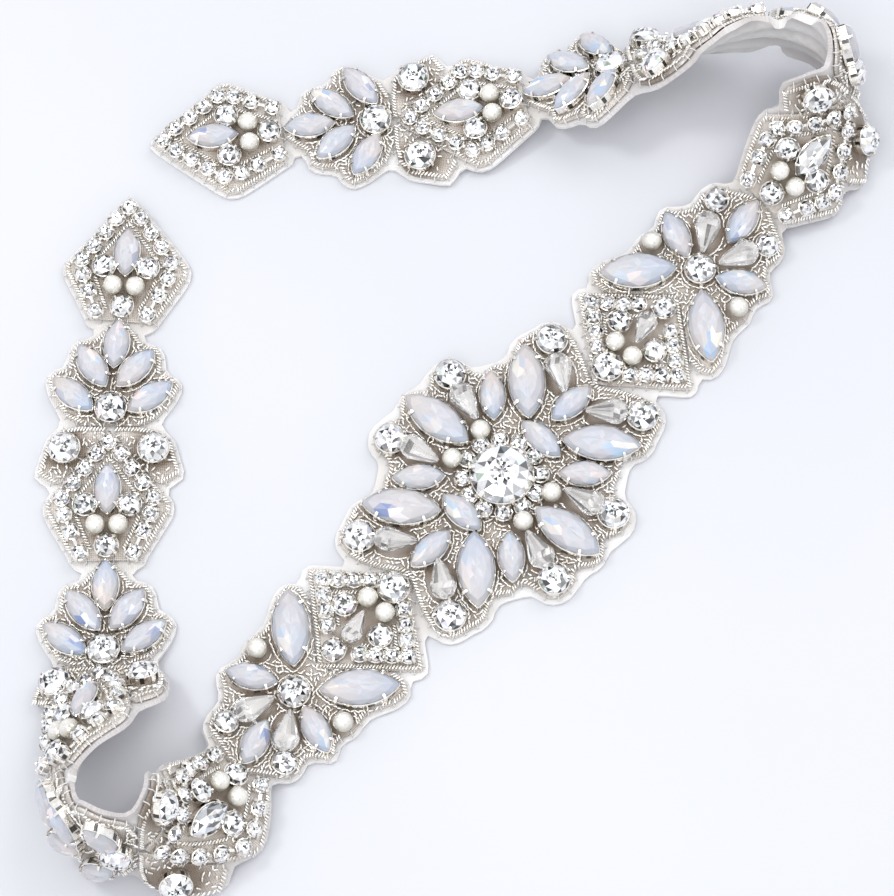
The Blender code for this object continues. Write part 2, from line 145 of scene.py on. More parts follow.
# %% Stones and cloth, sizes
BACKING_THICK, SEAM, GROUND_THICK = 1.0, 0.3, 1.0
GROUND_LOW = BACKING_THICK + SEAM
GROUND_TOP = GROUND_LOW + GROUND_THICK
STONES = {
    # kind: length, width, height of the girdle, height of the table
    "large_navette": (15.0, 7.0, 2.5, 4.1), "small_navette": (10.0, 5.0, 2.0, 3.3),
    "centre_stone": (12.0, 12.0, 2.8, 5.0), "round_stone": (5.9, 5.9, 1.9, 3.2),
    "little_round": (4.4, 4.4, 1.7, 2.8), "pearl": (4.0, 4.0, 1.9, 3.7),
    "drop": (8.2, 5.2, 2.2, 4.4), "small_drop": (6.8, 4.2, 1.9, 3.6),
    "chain_stone": (2.9, 2.9, 1.5, 2.3), "ring_stone": (3.1, 3.1, 1.5, 2.4),
}
SQUARE_AT, FLOWER_AT, FIRST_DIAMOND_AT, REPEAT, DIAMONDS = 38.6, 58.4, 88.2, 49.4, 4
print(len(STONES), "kinds of stone; the face of the cloth is", GROUND_TOP, "mm up")

# %% The medallion's drawing
MEDALLION_HALF = (
    (26.2, 0.0), (29.3, 5.2), (31.0, 9.2), (31.2, 12.8), (29.6, 15.2), (26.4, 15.9),
    (24.2, 16.7), (22.2, 16.5), (18.9, 14.6), (17.3, 16.0), (15.8, 17.3), (13.4, 16.8),
    (12.3, 19.2), (12.2, 22.6), (9.6, 24.9), (6.0, 24.4), (3.9, 22.4), (1.6, 24.7),
    (-0.8, 25.5), (-2.7, 24.2), (-4.4, 22.4), (-6.6, 24.2), (-9.8, 24.2), (-12.2, 22.2),
    (-12.0, 18.4), (-13.6, 16.9), (-15.8, 16.5), (-17.0, 14.8), (-19.4, 15.0),
    (-21.7, 17.1), (-24.3, 16.8), (-26.2, 15.9), (-29.6, 15.4), (-31.2, 12.8),
    (-31.0, 9.2), (-29.3, 5.2),
)
MEDALLION_HALF_STONES = (
    ("large_navette", 0.0, 16.9, 95), ("large_navette", 17.5, 9.3, 45),
    ("large_navette", 17.8, -9.8, -52), ("small_navette", 11.0, 12.4, 46),
    ("small_navette", 20.1, 0.0, -4), ("small_navette", 10.7, -0.6, 88),
    ("small_navette", 11.0, -11.5, -46), ("drop", 6.5, 15.1, 72),
    ("drop", -7.0, 14.9, 104), ("drop", 23.2, 5.7, 54), ("drop", 23.4, -6.2, -52),
    ("round_stone", 8.7, 21.4, 0), ("round_stone", -8.8, 20.9, 0),
    ("round_stone", 27.5, 11.7, 0), ("round_stone", 27.5, -11.8, 0),
    ("pearl", 4.1, 9.3, 0), ("pearl", -3.9, 9.4, 0),
)
RING_RADIUS, RING_STONES = 7.5, 12
print(len(MEDALLION_HALF_STONES), "stones in half the medallion")

# %% The square and the flower
SQUARE_OUTLINE = ((-12.1, 0.0), (0.0, 15.0), (13.0, 0.0), (0.0, -15.0))
SQUARE_STONES = (
    ("round_stone", -8.0, 0.0, 0), ("pearl", -3.2, 2.2, 0), ("pearl", -3.2, -2.2, 0),
    ("little_round", 0.7, 4.6, 0), ("little_round", 0.7, -4.6, 0),
    ("small_drop", 2.7, 0.0, 15), ("little_round", 8.7, 0.0, 0),
)
SQUARE_CHAIN = ((-6.2, 4.3), (0.0, 11.2), (6.0, 4.2))
FLOWER_SIDE = (
    (-6.34, 0.0), (-15.8, 10.9), (-16.2, 13.6), (-14.7, 15.8), (-11.6, 15.5),
    (-6.8, 12.7), (-3.6, 13.0), (-1.8, 13.5), (0.4, 12.4), (2.4, 12.4), (4.4, 13.5),
    (6.2, 13.0), (7.3, 10.9), (9.4, 9.4), (12.4, 9.9), (15.2, 9.0), (16.5, 6.2),
    (18.7, 2.2),
)
FLOWER_STONES = (
    ("round_stone", 0.0, 0.0, 0),
    ("large_navette", -8.8, 8.8, 134), ("large_navette", -8.8, -8.8, -134),
    ("pearl", -1.7, 10.9, 0), ("pearl", -1.7, -10.9, 0),
    ("small_navette", 3.0, 8.0, 66), ("small_navette", 3.0, -8.0, -63),
    ("drop", 7.1, 3.9, 28), ("drop", 7.1, -3.9, -28),
    ("little_round", 13.2, 6.8, 0), ("little_round", 12.8, -6.6, 0),
    ("small_navette", 13.2, 0.1, 8),
)
print(len(SQUARE_STONES), "stones in a square,", len(FLOWER_STONES), "in a flower")

# %% The diamond, its ears and its spray
DIAMOND_SIDE = ((-10.8, 6.6), (-1.0, 12.0), (0.8, 12.0), (14.9, 0.6))
DIAMOND_STONES = (
    ("small_navette", 3.0, 0.0, 0), ("little_round", 0.0, 4.3, 0),
    ("little_round", 0.0, -4.3, 0), ("pearl", -4.2, 2.2, 0), ("pearl", -4.2, -2.2, 0),
    ("little_round", -8.3, 0.0, 0),
)
DIAMOND_CHAIN = (
    (-9.6, 5.1), (-5.4, 6.9), (-2.0, 8.3), (1.3, 8.8), (4.4, 6.7), (7.4, 4.5),
    (10.4, 2.4), (12.9, 0.0),
)
EAR_OUTLINE = (
    (4.2, 9.72), (6.8, 13.9), (10.2, 12.8), (13.6, 11.9), (15.7, 9.2), (16.3, 5.4),
    (16.3, 0.9), (14.9, 1.1),
)
EAR_STONES = (("round_stone", 11.5, 8.6, 0),)
SPRAY_SIDE = (
    (16.65, 5.4), (18.1, 8.6), (22.4, 11.8), (25.4, 12.9), (27.1, 11.6), (28.0, 9.1),
    (31.8, 8.8), (33.5, 7.7), (33.8, 5.0), (36.0, 3.2), (38.3, 0.9),
)
SPRAY_STONES = (
    ("round_stone", 19.8, 0.0, 0), ("small_navette", 33.0, 0.0, 0),
    ("small_navette", 28.1, 4.2, 38), ("small_navette", 28.1, -4.2, -38),
    ("small_navette", 22.2, 7.5, 54), ("small_navette", 22.2, -7.5, -54),
)
print(len(DIAMOND_STONES), "stones in a diamond,", len(SPRAY_STONES), "in a spray")

# %% [markdown]
# ## Working in the flat drawing
# The cloth's outlines are drawn with few points. Cutting a polygon's corners twice, as a
# tailor trims them, gives the soft scallops of hand-cut cloth and leaves its long edges where
# they are. The two tests, inside and distance to an edge, keep beads on the cloth and off the
# stones; both work on whole lists of points at once, because there are thousands of beads.

# %% Draw outlines
CORNER_SHARE, CORNER_MOST = 0.22, 1.0   # how much of an edge a trimmed corner takes


def mirrored(line):
    """A line's mirror image on the other side of the strip's middle."""
    return [(u, -v) for u, v in line]


def both_sides(side):
    """A closed outline from its +t side: the other side is its mirror image."""
    return list(side) + mirrored(point for point in reversed(side) if abs(point[1]) > 1e-6)


def place(points, at, side):
    """Motif points at their place on the +s half (side 1) or the -s half (side -1)."""
    moved = [(at + u, v) for u, v in points]
    return moved if side > 0 else [(-s, -t) for s, t in moved]


def trimmed(outline):
    """A closed outline with its corners cut twice, by a millimetre at most."""
    points = np.array(outline)
    for _ in range(2):
        edge = np.roll(points, -1, axis=0) - points
        length = np.maximum(np.linalg.norm(edge, axis=1, keepdims=True), 1e-6)
        cut = edge * np.minimum(CORNER_SHARE, CORNER_MOST / length)
        points = np.stack([points + cut, points + edge - cut], axis=1).reshape(-1, 2)
    return points


def spaced(line, pitch, closed=False):
    """Points about a pitch apart along a line, and the line's direction at each."""
    points = np.array(line)
    if closed:
        points = np.vstack([points, points[:1]])
    lengths = np.linalg.norm(np.diff(points, axis=0), axis=1)
    walked_to = np.concatenate([[0.0], np.cumsum(lengths)])
    count = max(2, round(walked_to[-1] / pitch))
    at = np.linspace(0, walked_to[-1], count + 1)[:-1] + (0 if closed else pitch / 2)
    leg = np.clip(np.searchsorted(walked_to, at, side="right") - 1, 0, len(lengths) - 1)
    step = (points[leg + 1] - points[leg]) / lengths[leg][:, None]
    return points[leg] + step * (at - walked_to[leg])[:, None], step


def turns_of(steps):
    """The direction of each step, in degrees."""
    return np.degrees(np.arctan2(steps[:, 1], steps[:, 0]))


print("a flower's trimmed edge has", len(trimmed(both_sides(FLOWER_SIDE))), "points")

# %% Test places against an outline
def inside(points, loop):
    """Which points are inside a closed loop, by counting crossings."""
    a, b = np.asarray(loop), np.roll(loop, -1, axis=0)
    s, t = points[:, :1], points[:, 1:]
    spans = (a[:, 1] > t) != (b[:, 1] > t)
    rise = np.where(b[:, 1] == a[:, 1], 1.0, b[:, 1] - a[:, 1])
    crossing = a[:, 0] + (t - a[:, 1]) / rise * (b[:, 0] - a[:, 0])
    return (spans & (s < crossing)).sum(1) % 2 == 1


def edge_distance(points, loop):
    """Distance from each point to the nearest edge of a closed loop."""
    a, b = np.asarray(loop), np.roll(loop, -1, axis=0)
    edge = b - a
    away = points[:, None] - a
    part = np.clip((away * edge).sum(2) / np.maximum((edge ** 2).sum(1), 1e-12), 0, 1)
    return np.linalg.norm(away - part[..., None] * edge, axis=2).min(1)


square_middle = edge_distance(np.zeros((1, 2)), SQUARE_OUTLINE)[0]
print("the square's edge is", round(float(square_middle), 1), "mm from its middle")

# %% Outline the stones
NAVETTE_POINT = 0.6                     # 0 gives an oval, 1 a sharp leaf


def rim(kind, sides, scale=1.0, grow=0.0, shift=0.0):
    """A stone's outline about its own centre: a pointed navette, else an oval."""
    length, width = STONES[kind][:2]
    angle = 2 * math.pi * (np.arange(sides) + shift) / sides
    u = np.cos(angle) * (length / 2 * scale + grow)
    v = np.sin(angle) * (width / 2 * scale + grow)
    if "navette" in kind:
        v = v * np.abs(np.sin(angle)) ** NAVETTE_POINT
    return np.stack([u, v], axis=1)


def stone_rim(stone, grow=0.0, sides=24):
    """The outline of a placed stone in the drawing."""
    kind, s, t, turn = stone
    c, n = math.cos(math.radians(turn)), math.sin(math.radians(turn))
    return rim(kind, sides, grow=grow) @ np.array([[c, n], [-n, c]]) + (s, t)


print("a large navette's rim has", len(rim("large_navette", 24)), "points")

# %% [markdown]
# ## Every motif in its place
# Each motif becomes one record: its outline, its stones, the line of its cup chain and the
# lines along which a rope of beads is sewn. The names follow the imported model's nodes.

# %% File a motif
MOTIFS = []


def add_motif(name, at, side, outline, stones, chains=(), ropes=(), soft=True):
    """Files a motif, moved from its own drawing to its place on the strip."""
    half_turn = 0 if side > 0 else 180
    placed = [(kind, *place([(u, v)], at, side)[0], turn + half_turn)
              for kind, u, v, turn in stones]
    outline = np.array(place(outline, at, side))
    MOTIFS.append({
        "name": name, "outline": trimmed(outline) if soft else outline, "stones": placed,
        "chains": [place(c, at, side) for c in chains],
        "ropes": [place(r, at, side) for r in ropes],
    })


print("a corner at 2, 3 on the other half:", place([(2.0, 3.0)], SQUARE_AT, -1)[0])

# %% List the medallion
medallion_outline = list(MEDALLION_HALF) + place(MEDALLION_HALF, 0.0, -1)
medallion_stones = list(MEDALLION_HALF_STONES) + [("centre_stone", 0.0, 0.0, 0)]
medallion_stones += [(kind, -u, -v, turn + 180) for kind, u, v, turn in MEDALLION_HALF_STONES]
for number in range(RING_STONES):
    angle = 2 * math.pi * (number + 0.5) / RING_STONES
    medallion_stones.append(("ring_stone", RING_RADIUS * math.cos(angle),
                             RING_RADIUS * math.sin(angle), math.degrees(angle)))
add_motif("medallion", 0.0, 1, medallion_outline, medallion_stones,
          ropes=(medallion_outline + medallion_outline[:1],))
print(len(medallion_stones), "stones in the medallion")

# %% List both halves
for half, side in (("left", -1), ("right", 1)):
    add_motif(f"{half}_square", SQUARE_AT, side, SQUARE_OUTLINE, SQUARE_STONES,
              (SQUARE_CHAIN, mirrored(SQUARE_CHAIN)),
              (SQUARE_OUTLINE + SQUARE_OUTLINE[:1],), soft=False)
    add_motif(f"{half}_flower", FLOWER_AT, side, both_sides(FLOWER_SIDE), FLOWER_STONES,
              ropes=(FLOWER_SIDE[1:], mirrored(FLOWER_SIDE[1:])))
    for number in range(1, DIAMONDS + 1):
        at = FIRST_DIAMOND_AT + REPEAT * (number - 1)
        add_motif(f"{half}_diamond_{number}", at, side, both_sides(DIAMOND_SIDE),
                  DIAMOND_STONES, (both_sides(DIAMOND_CHAIN),), (both_sides(DIAMOND_SIDE),),
                  soft=False)
        if number == DIAMONDS:
            continue
        for edge, sign in (("in", side), ("out", -side)):
            ear = [(u, v * sign) for u, v in EAR_OUTLINE]
            stones = [(kind, u, v * sign, turn) for kind, u, v, turn in EAR_STONES]
            add_motif(f"{half}_ear_{number}_{edge}", at, side, ear, stones, ropes=(ear[:-1],))
        add_motif(f"{half}_spray_{number}", at, side, both_sides(SPRAY_SIDE), SPRAY_STONES,
                  ropes=(SPRAY_SIDE, mirrored(SPRAY_SIDE)))
print(len(MOTIFS), "motifs,", sum(len(m["stones"]) for m in MOTIFS), "stones before the chain")

# %% [markdown]
# ## Surfaces
# Every finish is a Principled surface. Numbers that are the same all over are set on its own
# sockets; what varies, such as a thread's colour or a facet's brightness, comes from small
# node trees. Many things here differ piece by piece or facet by facet, so the meshes carry a
# colour layer called tint, which the trees read. It holds real colour, and also painted shade
# and painted reflections. That costs one layer, where a material for each shade would cost
# dozens.

# %% Material helpers
def surface(name, **values):
    """A new Principled material with constants on its sockets, named with underscores."""
    material = bpy.data.materials.new(name)
    material.use_nodes = True
    shader = material.node_tree.nodes["Principled BSDF"]
    for socket, value in values.items():
        shader.inputs[socket.replace("_", " ")].default_value = value
    return material, material.node_tree, shader


def node(tree, kind, values=(), **settings):
    """A new node with its settings, and with values or links on its numbered sockets."""
    made = tree.nodes.new("ShaderNode" + kind)
    for key, value in settings.items():
        setattr(made, key, value)
    for socket, value in dict(values).items():
        if isinstance(value, bpy.types.NodeSocket):
            tree.links.new(value, made.inputs[socket])
        else:
            made.inputs[socket].default_value = value
    return made


print("helpers for surfaces and their nodes are ready")

# %% Colour helpers
def mixed(tree, factor, low, high, how="MIX"):
    """One colour mixed with another, by a number or a socket."""
    mix = node(tree, "Mix", {0: factor, 6: low, 7: high}, data_type="RGBA", blend_type=how)
    return mix.outputs[2]


def tinted(tree, colour):
    """A colour times the tint that the mesh carries."""
    tint = node(tree, "VertexColor", layer_name="tint").outputs["Color"]
    return mixed(tree, 1.0, colour, tint, "MULTIPLY")


def cloudy(tree, scale, detail=2.0):
    """Soft noise in the piece's own coordinates, stretched to run from 0 to 1."""
    where = node(tree, "TexCoord").outputs["Object"]
    noise = node(tree, "TexNoise", {"Vector": where, "Scale": scale, "Detail": detail})
    return node(tree, "MapRange", {0: noise.outputs[0], 1: 0.35, 2: 0.65}).outputs[0]


def finish_of(name, grain, one, other, **values):
    """A finish whose colour drifts between two, finer where the grain is higher."""
    material, tree, shader = surface(name, **values)
    drift = mixed(tree, cloudy(tree, grain), (*one, 1), (*other, 1))
    tree.links.new(tinted(tree, drift), shader.inputs["Base Color"])
    return material


print("helpers for colours are ready")

# %% [markdown]
# ### Metal, stones and pearls
# Rhinestones have a foil behind them, so they throw light back like a broken mirror: bright
# metal with a clear coat, and a different grey on each facet, a painted reflection of the light
# it sends back. The opal stones are milky glass, painted greyer near the girdle as shade, with
# a few facets painted to flash blue, cream or peach. A glass shader with real refraction would
# be truer for both, but stones this small only turn to noise with it. Real glass is kept for
# the clear drops, which do show the cloth below them; their facets carry painted streaks.

# %% Make the hard finishes
silver = finish_of("plated_silver", 900, (0.95, 0.95, 0.945), (0.84, 0.81, 0.76),
                   Metallic=1.0, Coat_Weight=0.2)
tree = silver.node_tree
worn = node(tree, "MapRange", {0: cloudy(tree, 1400), 3: 0.10, 4: 0.30}).outputs[0]
tree.links.new(worn, tree.nodes["Principled BSDF"].inputs["Roughness"])

opal = finish_of("opal_glass", 240, (0.95, 0.97, 1.0), (1.0, 0.975, 0.97), Roughness=0.34,
                 IOR=1.42, Coat_Weight=0.3, Coat_Roughness=0.09, Subsurface_Weight=0.25,
                 Subsurface_Scale=0.0012)
crystal = finish_of("foiled_crystal", 2600, (0.88, 0.88, 0.89), (1, 1, 1), Metallic=0.72,
                    Roughness=0.06, Coat_Weight=1.0, Coat_Roughness=0.02)
pearl = finish_of("ivory_pearl", 500, (0.76, 0.745, 0.72), (0.73, 0.71, 0.66), Metallic=0.4,
                  Roughness=0.22, Coat_Weight=1.0, Coat_Roughness=0.07, Coat_IOR=1.9)
clear_glass = finish_of("clear_drop_glass", 900, (0.92, 0.92, 0.92), (1, 1, 1),
                        Roughness=0.05, IOR=1.45, Transmission_Weight=0.75,
                        Coat_Weight=1.0, Coat_Roughness=0.02)
seed_glass = finish_of("silver_lined_beads", 3000, (0.86, 0.84, 0.81), (1, 1, 1),
                       Metallic=0.55, Roughness=0.16, Coat_Weight=1.0, Coat_Roughness=0.04)
print(len(bpy.data.materials), "materials so far")

# %% [markdown]
# ### Cloth
# Organza is a sheer plain weave: two sets of crossed threads with light between them. Satin
# hides its weave and shows long threads with a soft sheen. Both patterns are drawn in the
# strip's own flat millimetres, kept as its UV map, so the grain follows the strip round its
# bends as real cloth does.

# %% Make the cloths
WAVE_AT_1_MM = 0.314                    # the wave texture's scale for one thread a millimetre


def threads(tree, pitch, direction):
    """Rounded threads across the drawing, 0 in the gaps and 1 on a thread's crown."""
    drawing = node(tree, "UVMap", uv_map="drawing").outputs[0]
    wave = node(tree, "TexWave", {"Vector": drawing, "Scale": WAVE_AT_1_MM / pitch,
                                  "Distortion": 0.6, "Detail": 1.0, "Detail Scale": 2.0},
                bands_direction=direction)
    return wave.outputs["Fac"]


def cloth(name, gap, thread, warp, weft, depth, **values):
    """A plain weave over a darker gap, with faded places; depth is the bump's, in metres."""
    material, tree, shader = surface(name, **values)
    crossed = node(tree, "Math", {0: threads(tree, warp, "X"), 1: threads(tree, weft, "Y")},
                   operation="MAXIMUM").outputs[0]
    woven = mixed(tree, crossed, gap, thread)
    faded = mixed(tree, cloudy(tree, 90, 4.0), (0.88, 0.86, 0.83, 1), (1, 1, 1, 1))
    colour = mixed(tree, 1.0, woven, tinted(tree, faded), "MULTIPLY")
    tree.links.new(colour, shader.inputs["Base Color"])
    bump = node(tree, "Bump", {"Height": crossed, "Distance": depth, "Strength": 1.0})
    tree.links.new(bump.outputs[0], shader.inputs["Normal"])
    return material


organza = cloth("taupe_organza", (0.42, 0.385, 0.35, 1), (0.70, 0.67, 0.645, 1), 0.34, 0.37,
                0.00010, Roughness=0.42, Sheen_Weight=0.3, Metallic=0.15)
satin = cloth("pale_satin", (0.66, 0.65, 0.645, 1), (0.80, 0.79, 0.785, 1), 0.26, 0.34,
              0.00004, Roughness=0.38, Sheen_Weight=0.4, Anisotropic=0.5)
thread = finish_of("sewing_thread", 5200, (0.62, 0.61, 0.60), (0.84, 0.83, 0.82),
                   Roughness=0.55, Sheen_Weight=0.3)
print("cloths:", organza.name, satin.name)

# %% [markdown]
# ## Sewing a sheet of cloth
# A sheet is a thin closed shell: the outline is filled with a staggered lattice of points,
# joined into triangles, and laid on the strip twice, once for each face. The lattice is fine
# enough to follow the bends smoothly, and the sheet's own thickness can vary from point to
# point, which is how creases and puckers are put in. A sheet also carries a tint, a painted
# shade which is darker where it sinks between folds or stones. Cloth simulation isn't used:
# the strip is held by hundreds of stitches and can't drape.

# %% Fill an outline
CUT_SPARE = 0.5                         # cloth is cut with half a millimetre to spare
ROW_SHARE, EDGE_SHARE = 0.87, 0.45      # of a step: between rows, and clear of the edge
SHARP_FOLD = math.radians(50)           # where a sheet's surface stops being smooth


def filled(outline, step):
    """An outline filled with points: the points, the triangles and the edge's numbers."""
    start, end = outline.min(0), outline.max(0)
    rows = np.arange(start[0], end[0] + step, step * ROW_SHARE)
    columns = np.arange(start[1] - step, end[1] + step, step)
    grid = np.array([(s, t + (k % 2) * step / 2) for k, s in enumerate(rows) for t in columns])
    grid = grid[inside(grid, outline)]
    grid = grid[edge_distance(grid, outline) > step * EDGE_SHARE]
    ring = list(range(len(outline)))
    points, _, triangles, sources, _, _ = delaunay_2d_cdt(
        [Vector(p) for p in np.vstack([outline, grid])], [], [ring], 1, 1e-6)
    number = {source: index for index, found in enumerate(sources) for source in found}
    return (np.array([tuple(p) for p in points]), [tuple(t) for t in triangles],
            [number[i] for i in ring])


def flat_area(outline):
    """The area inside a closed outline."""
    a, b = outline, np.roll(outline, -1, axis=0)
    return abs(float((a[:, 0] * b[:, 1] - b[:, 0] * a[:, 1]).sum())) / 2


def laid_area(points, triangles):
    """The area of a surface in space."""
    p, q, r = (points[np.array(triangles)[:, k]] for k in range(3))
    return float(np.linalg.norm(np.cross(q - p, r - p), axis=1).sum()) / 2


print("the flat square is", flat_area(np.array(SQUARE_OUTLINE)), "mm2")

# %% Build a sheet
def put(name, data):
    """A new object in the scene, made from its mesh, lamp or camera."""
    made = bpy.data.objects.new(name, data)
    bpy.context.scene.collection.objects.link(made)
    return made


def plain_tint(points):
    """No tint at all: white at every point."""
    return np.ones((len(points), 3))


def sheet_of_cloth(name, outline, low, high, material, step=1.6, shade=plain_tint):
    """A closed shell over an outline; low, high and shade give each point's heights and tint.

    Also gives the flat size in metres and the area in square metres.
    """
    outline = spaced(outline, step, closed=True)[0]
    points, triangles, edge = filled(outline, step)
    count = len(points)
    top, under = lay(points, high(points)), lay(points, low(points))
    faces = list(triangles)
    faces += [tuple(i + count for i in reversed(t)) for t in triangles]
    faces += [(a, a + count, b + count, b) for a, b in zip(edge, edge[1:] + edge[:1])]
    mesh = bpy.data.meshes.new(name)
    mesh.from_pydata(np.vstack([top, under]) * MM, [], faces)
    shell = bmesh.new()
    shell.from_mesh(mesh)
    bmesh.ops.recalc_face_normals(shell, faces=shell.faces)
    shell.to_mesh(mesh)
    shell.free()
    drawing = mesh.uv_layers.new(name="drawing")
    corners = np.empty(len(mesh.loops), dtype=int)
    mesh.loops.foreach_get("vertex_index", corners)
    drawing.uv.foreach_set("vector", points[corners % count].ravel())
    colours = np.column_stack([np.tile(shade(points), (2, 1)), np.ones(2 * count)])
    layer = mesh.color_attributes.new("tint", "FLOAT_COLOR", "POINT")
    layer.data.foreach_set("color", colours.ravel())
    mesh.shade_smooth()
    mesh.set_sharp_from_angle(angle=SHARP_FOLD)
    mesh.materials.append(material)
    piece = put(name, mesh)
    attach(piece, "root")
    laid = laid_area((top + under) / 2, triangles)
    growth = math.sqrt(laid / flat_area(outline))
    length, width = (outline.max(0) - outline.min(0) + 2 * CUT_SPARE) * MM * growth
    return piece, (length, width), laid * MM * MM


def waves(points, long, wide, phase=0.0):
    """A gentle uneven swell over the drawing, from about -1 to 1."""
    s, t = points.T
    return (np.sin(s / long + phase + np.sin(t / wide * 0.7 + phase * 2))
            * np.cos(t / wide + phase * 3 + np.sin(s / long * 0.43)))


print("a swell at the centre stone:", waves(np.zeros((1, 2)), 2.0, 2.0, 1.0))

# %% [markdown]
# ### The backing
# The backing is one long strip that shows as a pale margin round every motif and, in the two
# bends, as the plain inside. Its half-widths follow the motifs. Between the stitches the
# margin puckers a little, and inside each bend the satin gathers into a few long soft creases,
# deepest at the middle of the bend and fading to nothing where the strip lies flat again.
# The folds could be sculpted, but as rows of a table each one is easy to move or deepen.

# %% Cut the backing
MIDDLE_WIDTHS = (
    (0.0, 26.2), (3.4, 25.0), (6.0, 25.5), (9.8, 25.8), (12.9, 23.4), (13.2, 19.8),
    (15.6, 18.3), (18.0, 16.8), (20.0, 16.6), (22.0, 17.8), (24.6, 17.7), (26.2, 17.0),
)
RUN_WIDTHS = (
    (26.5, 16.9), (30.0, 16.0), (31.9, 14.0), (32.2, 11.0), (33.3, 10.2), (37.6, 15.8),
    (39.6, 15.8), (41.7, 14.2), (43.3, 16.6), (46.8, 16.5), (51.8, 13.8), (54.8, 13.9),
    (56.6, 14.3), (58.8, 13.3), (60.6, 13.2), (62.8, 14.4), (64.8, 13.9), (66.2, 11.6),
    (68.0, 10.2), (70.8, 10.8), (73.8, 9.9), (75.4, 7.0), (77.1, 6.9),
)
REPEAT_WIDTHS = (
    (-10.8, 7.3), (-1.4, 12.7), (1.2, 12.7), (3.6, 10.8), (6.0, 14.4), (7.2, 14.6),
    (10.8, 13.4), (14.0, 12.6), (16.4, 10.2), (17.8, 9.6), (22.0, 12.4), (25.6, 13.7),
    (27.7, 12.2), (28.6, 9.9), (32.2, 9.5), (34.2, 8.2), (34.6, 5.6), (36.4, 4.4),
    (37.4, 7.0), (38.3, 7.2),
)
END_WIDTHS = ((-10.8, 7.3), (-1.4, 12.7), (1.2, 12.7), (15.7, 0.8))


def backing_half_widths():
    """The backing's half-widths from the centre stone out to one free end."""
    widths = list(MIDDLE_WIDTHS) + list(RUN_WIDTHS)
    for number in range(DIAMONDS):
        at = FIRST_DIAMOND_AT + REPEAT * number
        table = END_WIDTHS if number == DIAMONDS - 1 else REPEAT_WIDTHS
        widths += [(at + u, w) for u, w in table]
    return widths


half_widths = backing_half_widths()
print("the backing's half-length is", round(half_widths[-1][0], 1), "mm")

# %% Crease the backing
BACKING_THIN, PUCKER = 0.8, 0.08        # its thickness, and how far the margin puckers
FULL_ROLL = 60                          # degrees at which the creases are at their deepest
FINE_WRINKLE, HOLLOW_DEPTH = 0.12, 0.9  # millimetres
HOLLOW_SHADE = np.array((0.32, 0.35, 0.35))
CREASES = (
    # along, across, length, width, depth: placed one by one, uneven as real ones are
    (-132, 3.5, 34, 3.0, 1.2), (-118, -4.0, 40, 2.6, 1.4), (-106, 6.5, 24, 2.4, 1.1),
    (-126, -9.0, 26, 2.2, 0.8), (-99, -1.5, 26, 3.0, 0.9),
    (106, -5.5, 34, 2.6, 1.3), (118, 0.5, 50, 2.6, 1.6), (130, 6.0, 40, 2.3, 1.4),
    (138, -3.5, 40, 2.6, 1.2), (122, 10.5, 34, 2.0, 1.0), (148, 3.0, 30, 2.8, 0.8),
    (126, -8.5, 34, 2.2, 0.9),
)
print(len(CREASES), "creases,", max(row[4] for row in CREASES), "mm deep at most")


def rolled_share(points):
    """0 where the strip lies flat and 1 where it stands on its edge."""
    return np.clip(np.degrees(np.interp(points[:, 0], ALONG, ROLL)) / FULL_ROLL, 0, 1)


def crease_heights(points):
    """How high the gathered folds of the plain side stand, in millimetres."""
    s, t = points.T
    swell = np.zeros(len(points))
    for at, across, length, width, depth in CREASES:
        drift = across + 1.2 * np.sin((s - at) / length * 4)
        ridge = np.exp(-((t - drift) / width) ** 2 * 2) * np.exp(-((s - at) / length) ** 2 * 6)
        swell = np.maximum(swell, depth * ridge)
    return swell


def creased_underside(points):
    """The plain side: flat on the floor, and raised into soft creases in the bends."""
    swell = crease_heights(points) + FINE_WRINKLE * (1 + waves(points, 2.3, 1.9))
    return -swell * rolled_share(points)


def lining_tint(points):
    """A little darker and warmer between the folds, where the satin's shadow gathers."""
    hollow = 1 - np.clip(crease_heights(points) / HOLLOW_DEPTH, 0, 1)
    hollow = hollow * rolled_share(points)
    return 1 - hollow[:, None] * HOLLOW_SHADE


def puckered_face(points):
    """The face side, which lifts a little between the stitches."""
    return BACKING_THIN - PUCKER + PUCKER * waves(points, 0.8, 1.1, 0.4)


# %% Lay the backing
edge = [(-s, w) for s, w in reversed(half_widths[1:])] + half_widths
strip_outline = trimmed([(s, w) for s, w in edge] + [(s, -w) for s, w in reversed(edge)])
backing, flat, area = sheet_of_cloth("backing_cloth", strip_outline, creased_underside,
                                     puckered_face, satin, shade=lining_tint)
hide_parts(*[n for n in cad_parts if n.startswith("backing_")])
print("cut size of the backing, mm:", [round(x / MM) for x in flat])
print("its area, cm2:", round(area * 1e4))

# %% [markdown]
# ### The organza under each motif
# Each motif is beaded on its own patch of organza before it is sewn to the backing. The patch
# sinks a little between the stones, where the thread pulls it down, and looks darkest in the
# narrow gaps. Lights alone would shade the gaps too, but not as deeply as packed beads do, so
# a painted shade helps: the tint follows the distance to the two nearest stones.

# %% Lay the organza patches
PATCH_THICK, PATCH_SINK, EDGE_DROOP, DROOP_REACH, DIMPLE = 0.45, 0.35, 0.4, 1.6, 0.1
# Painted shade in the gaps between stones, paler on the framed motifs.
GAP_PAINTED_SHADE, OPEN_AT, GAP_END = np.array((0.36, 0.29, 0.23)), 2.8, 0.6
PALE_TINT = np.array((1.12, 1.10, 1.08))
FRAMED_PAINTED_SHADE, FRAMED_OPEN_AT = np.array((0.58, 0.50, 0.43)), 1.4
STONE_SEAT = GROUND_TOP - PATCH_SINK


def patch_height(points, outline):
    """How high a patch lies: dimpled between the stones, and lower towards its edge."""
    near = np.clip(1 - edge_distance(points, outline) / DROOP_REACH, 0, 1)
    dimples = DIMPLE * waves(points, 1.3, 1.0, 1.1)
    return STONE_SEAT - DIMPLE + dimples - EDGE_DROOP * near ** 2


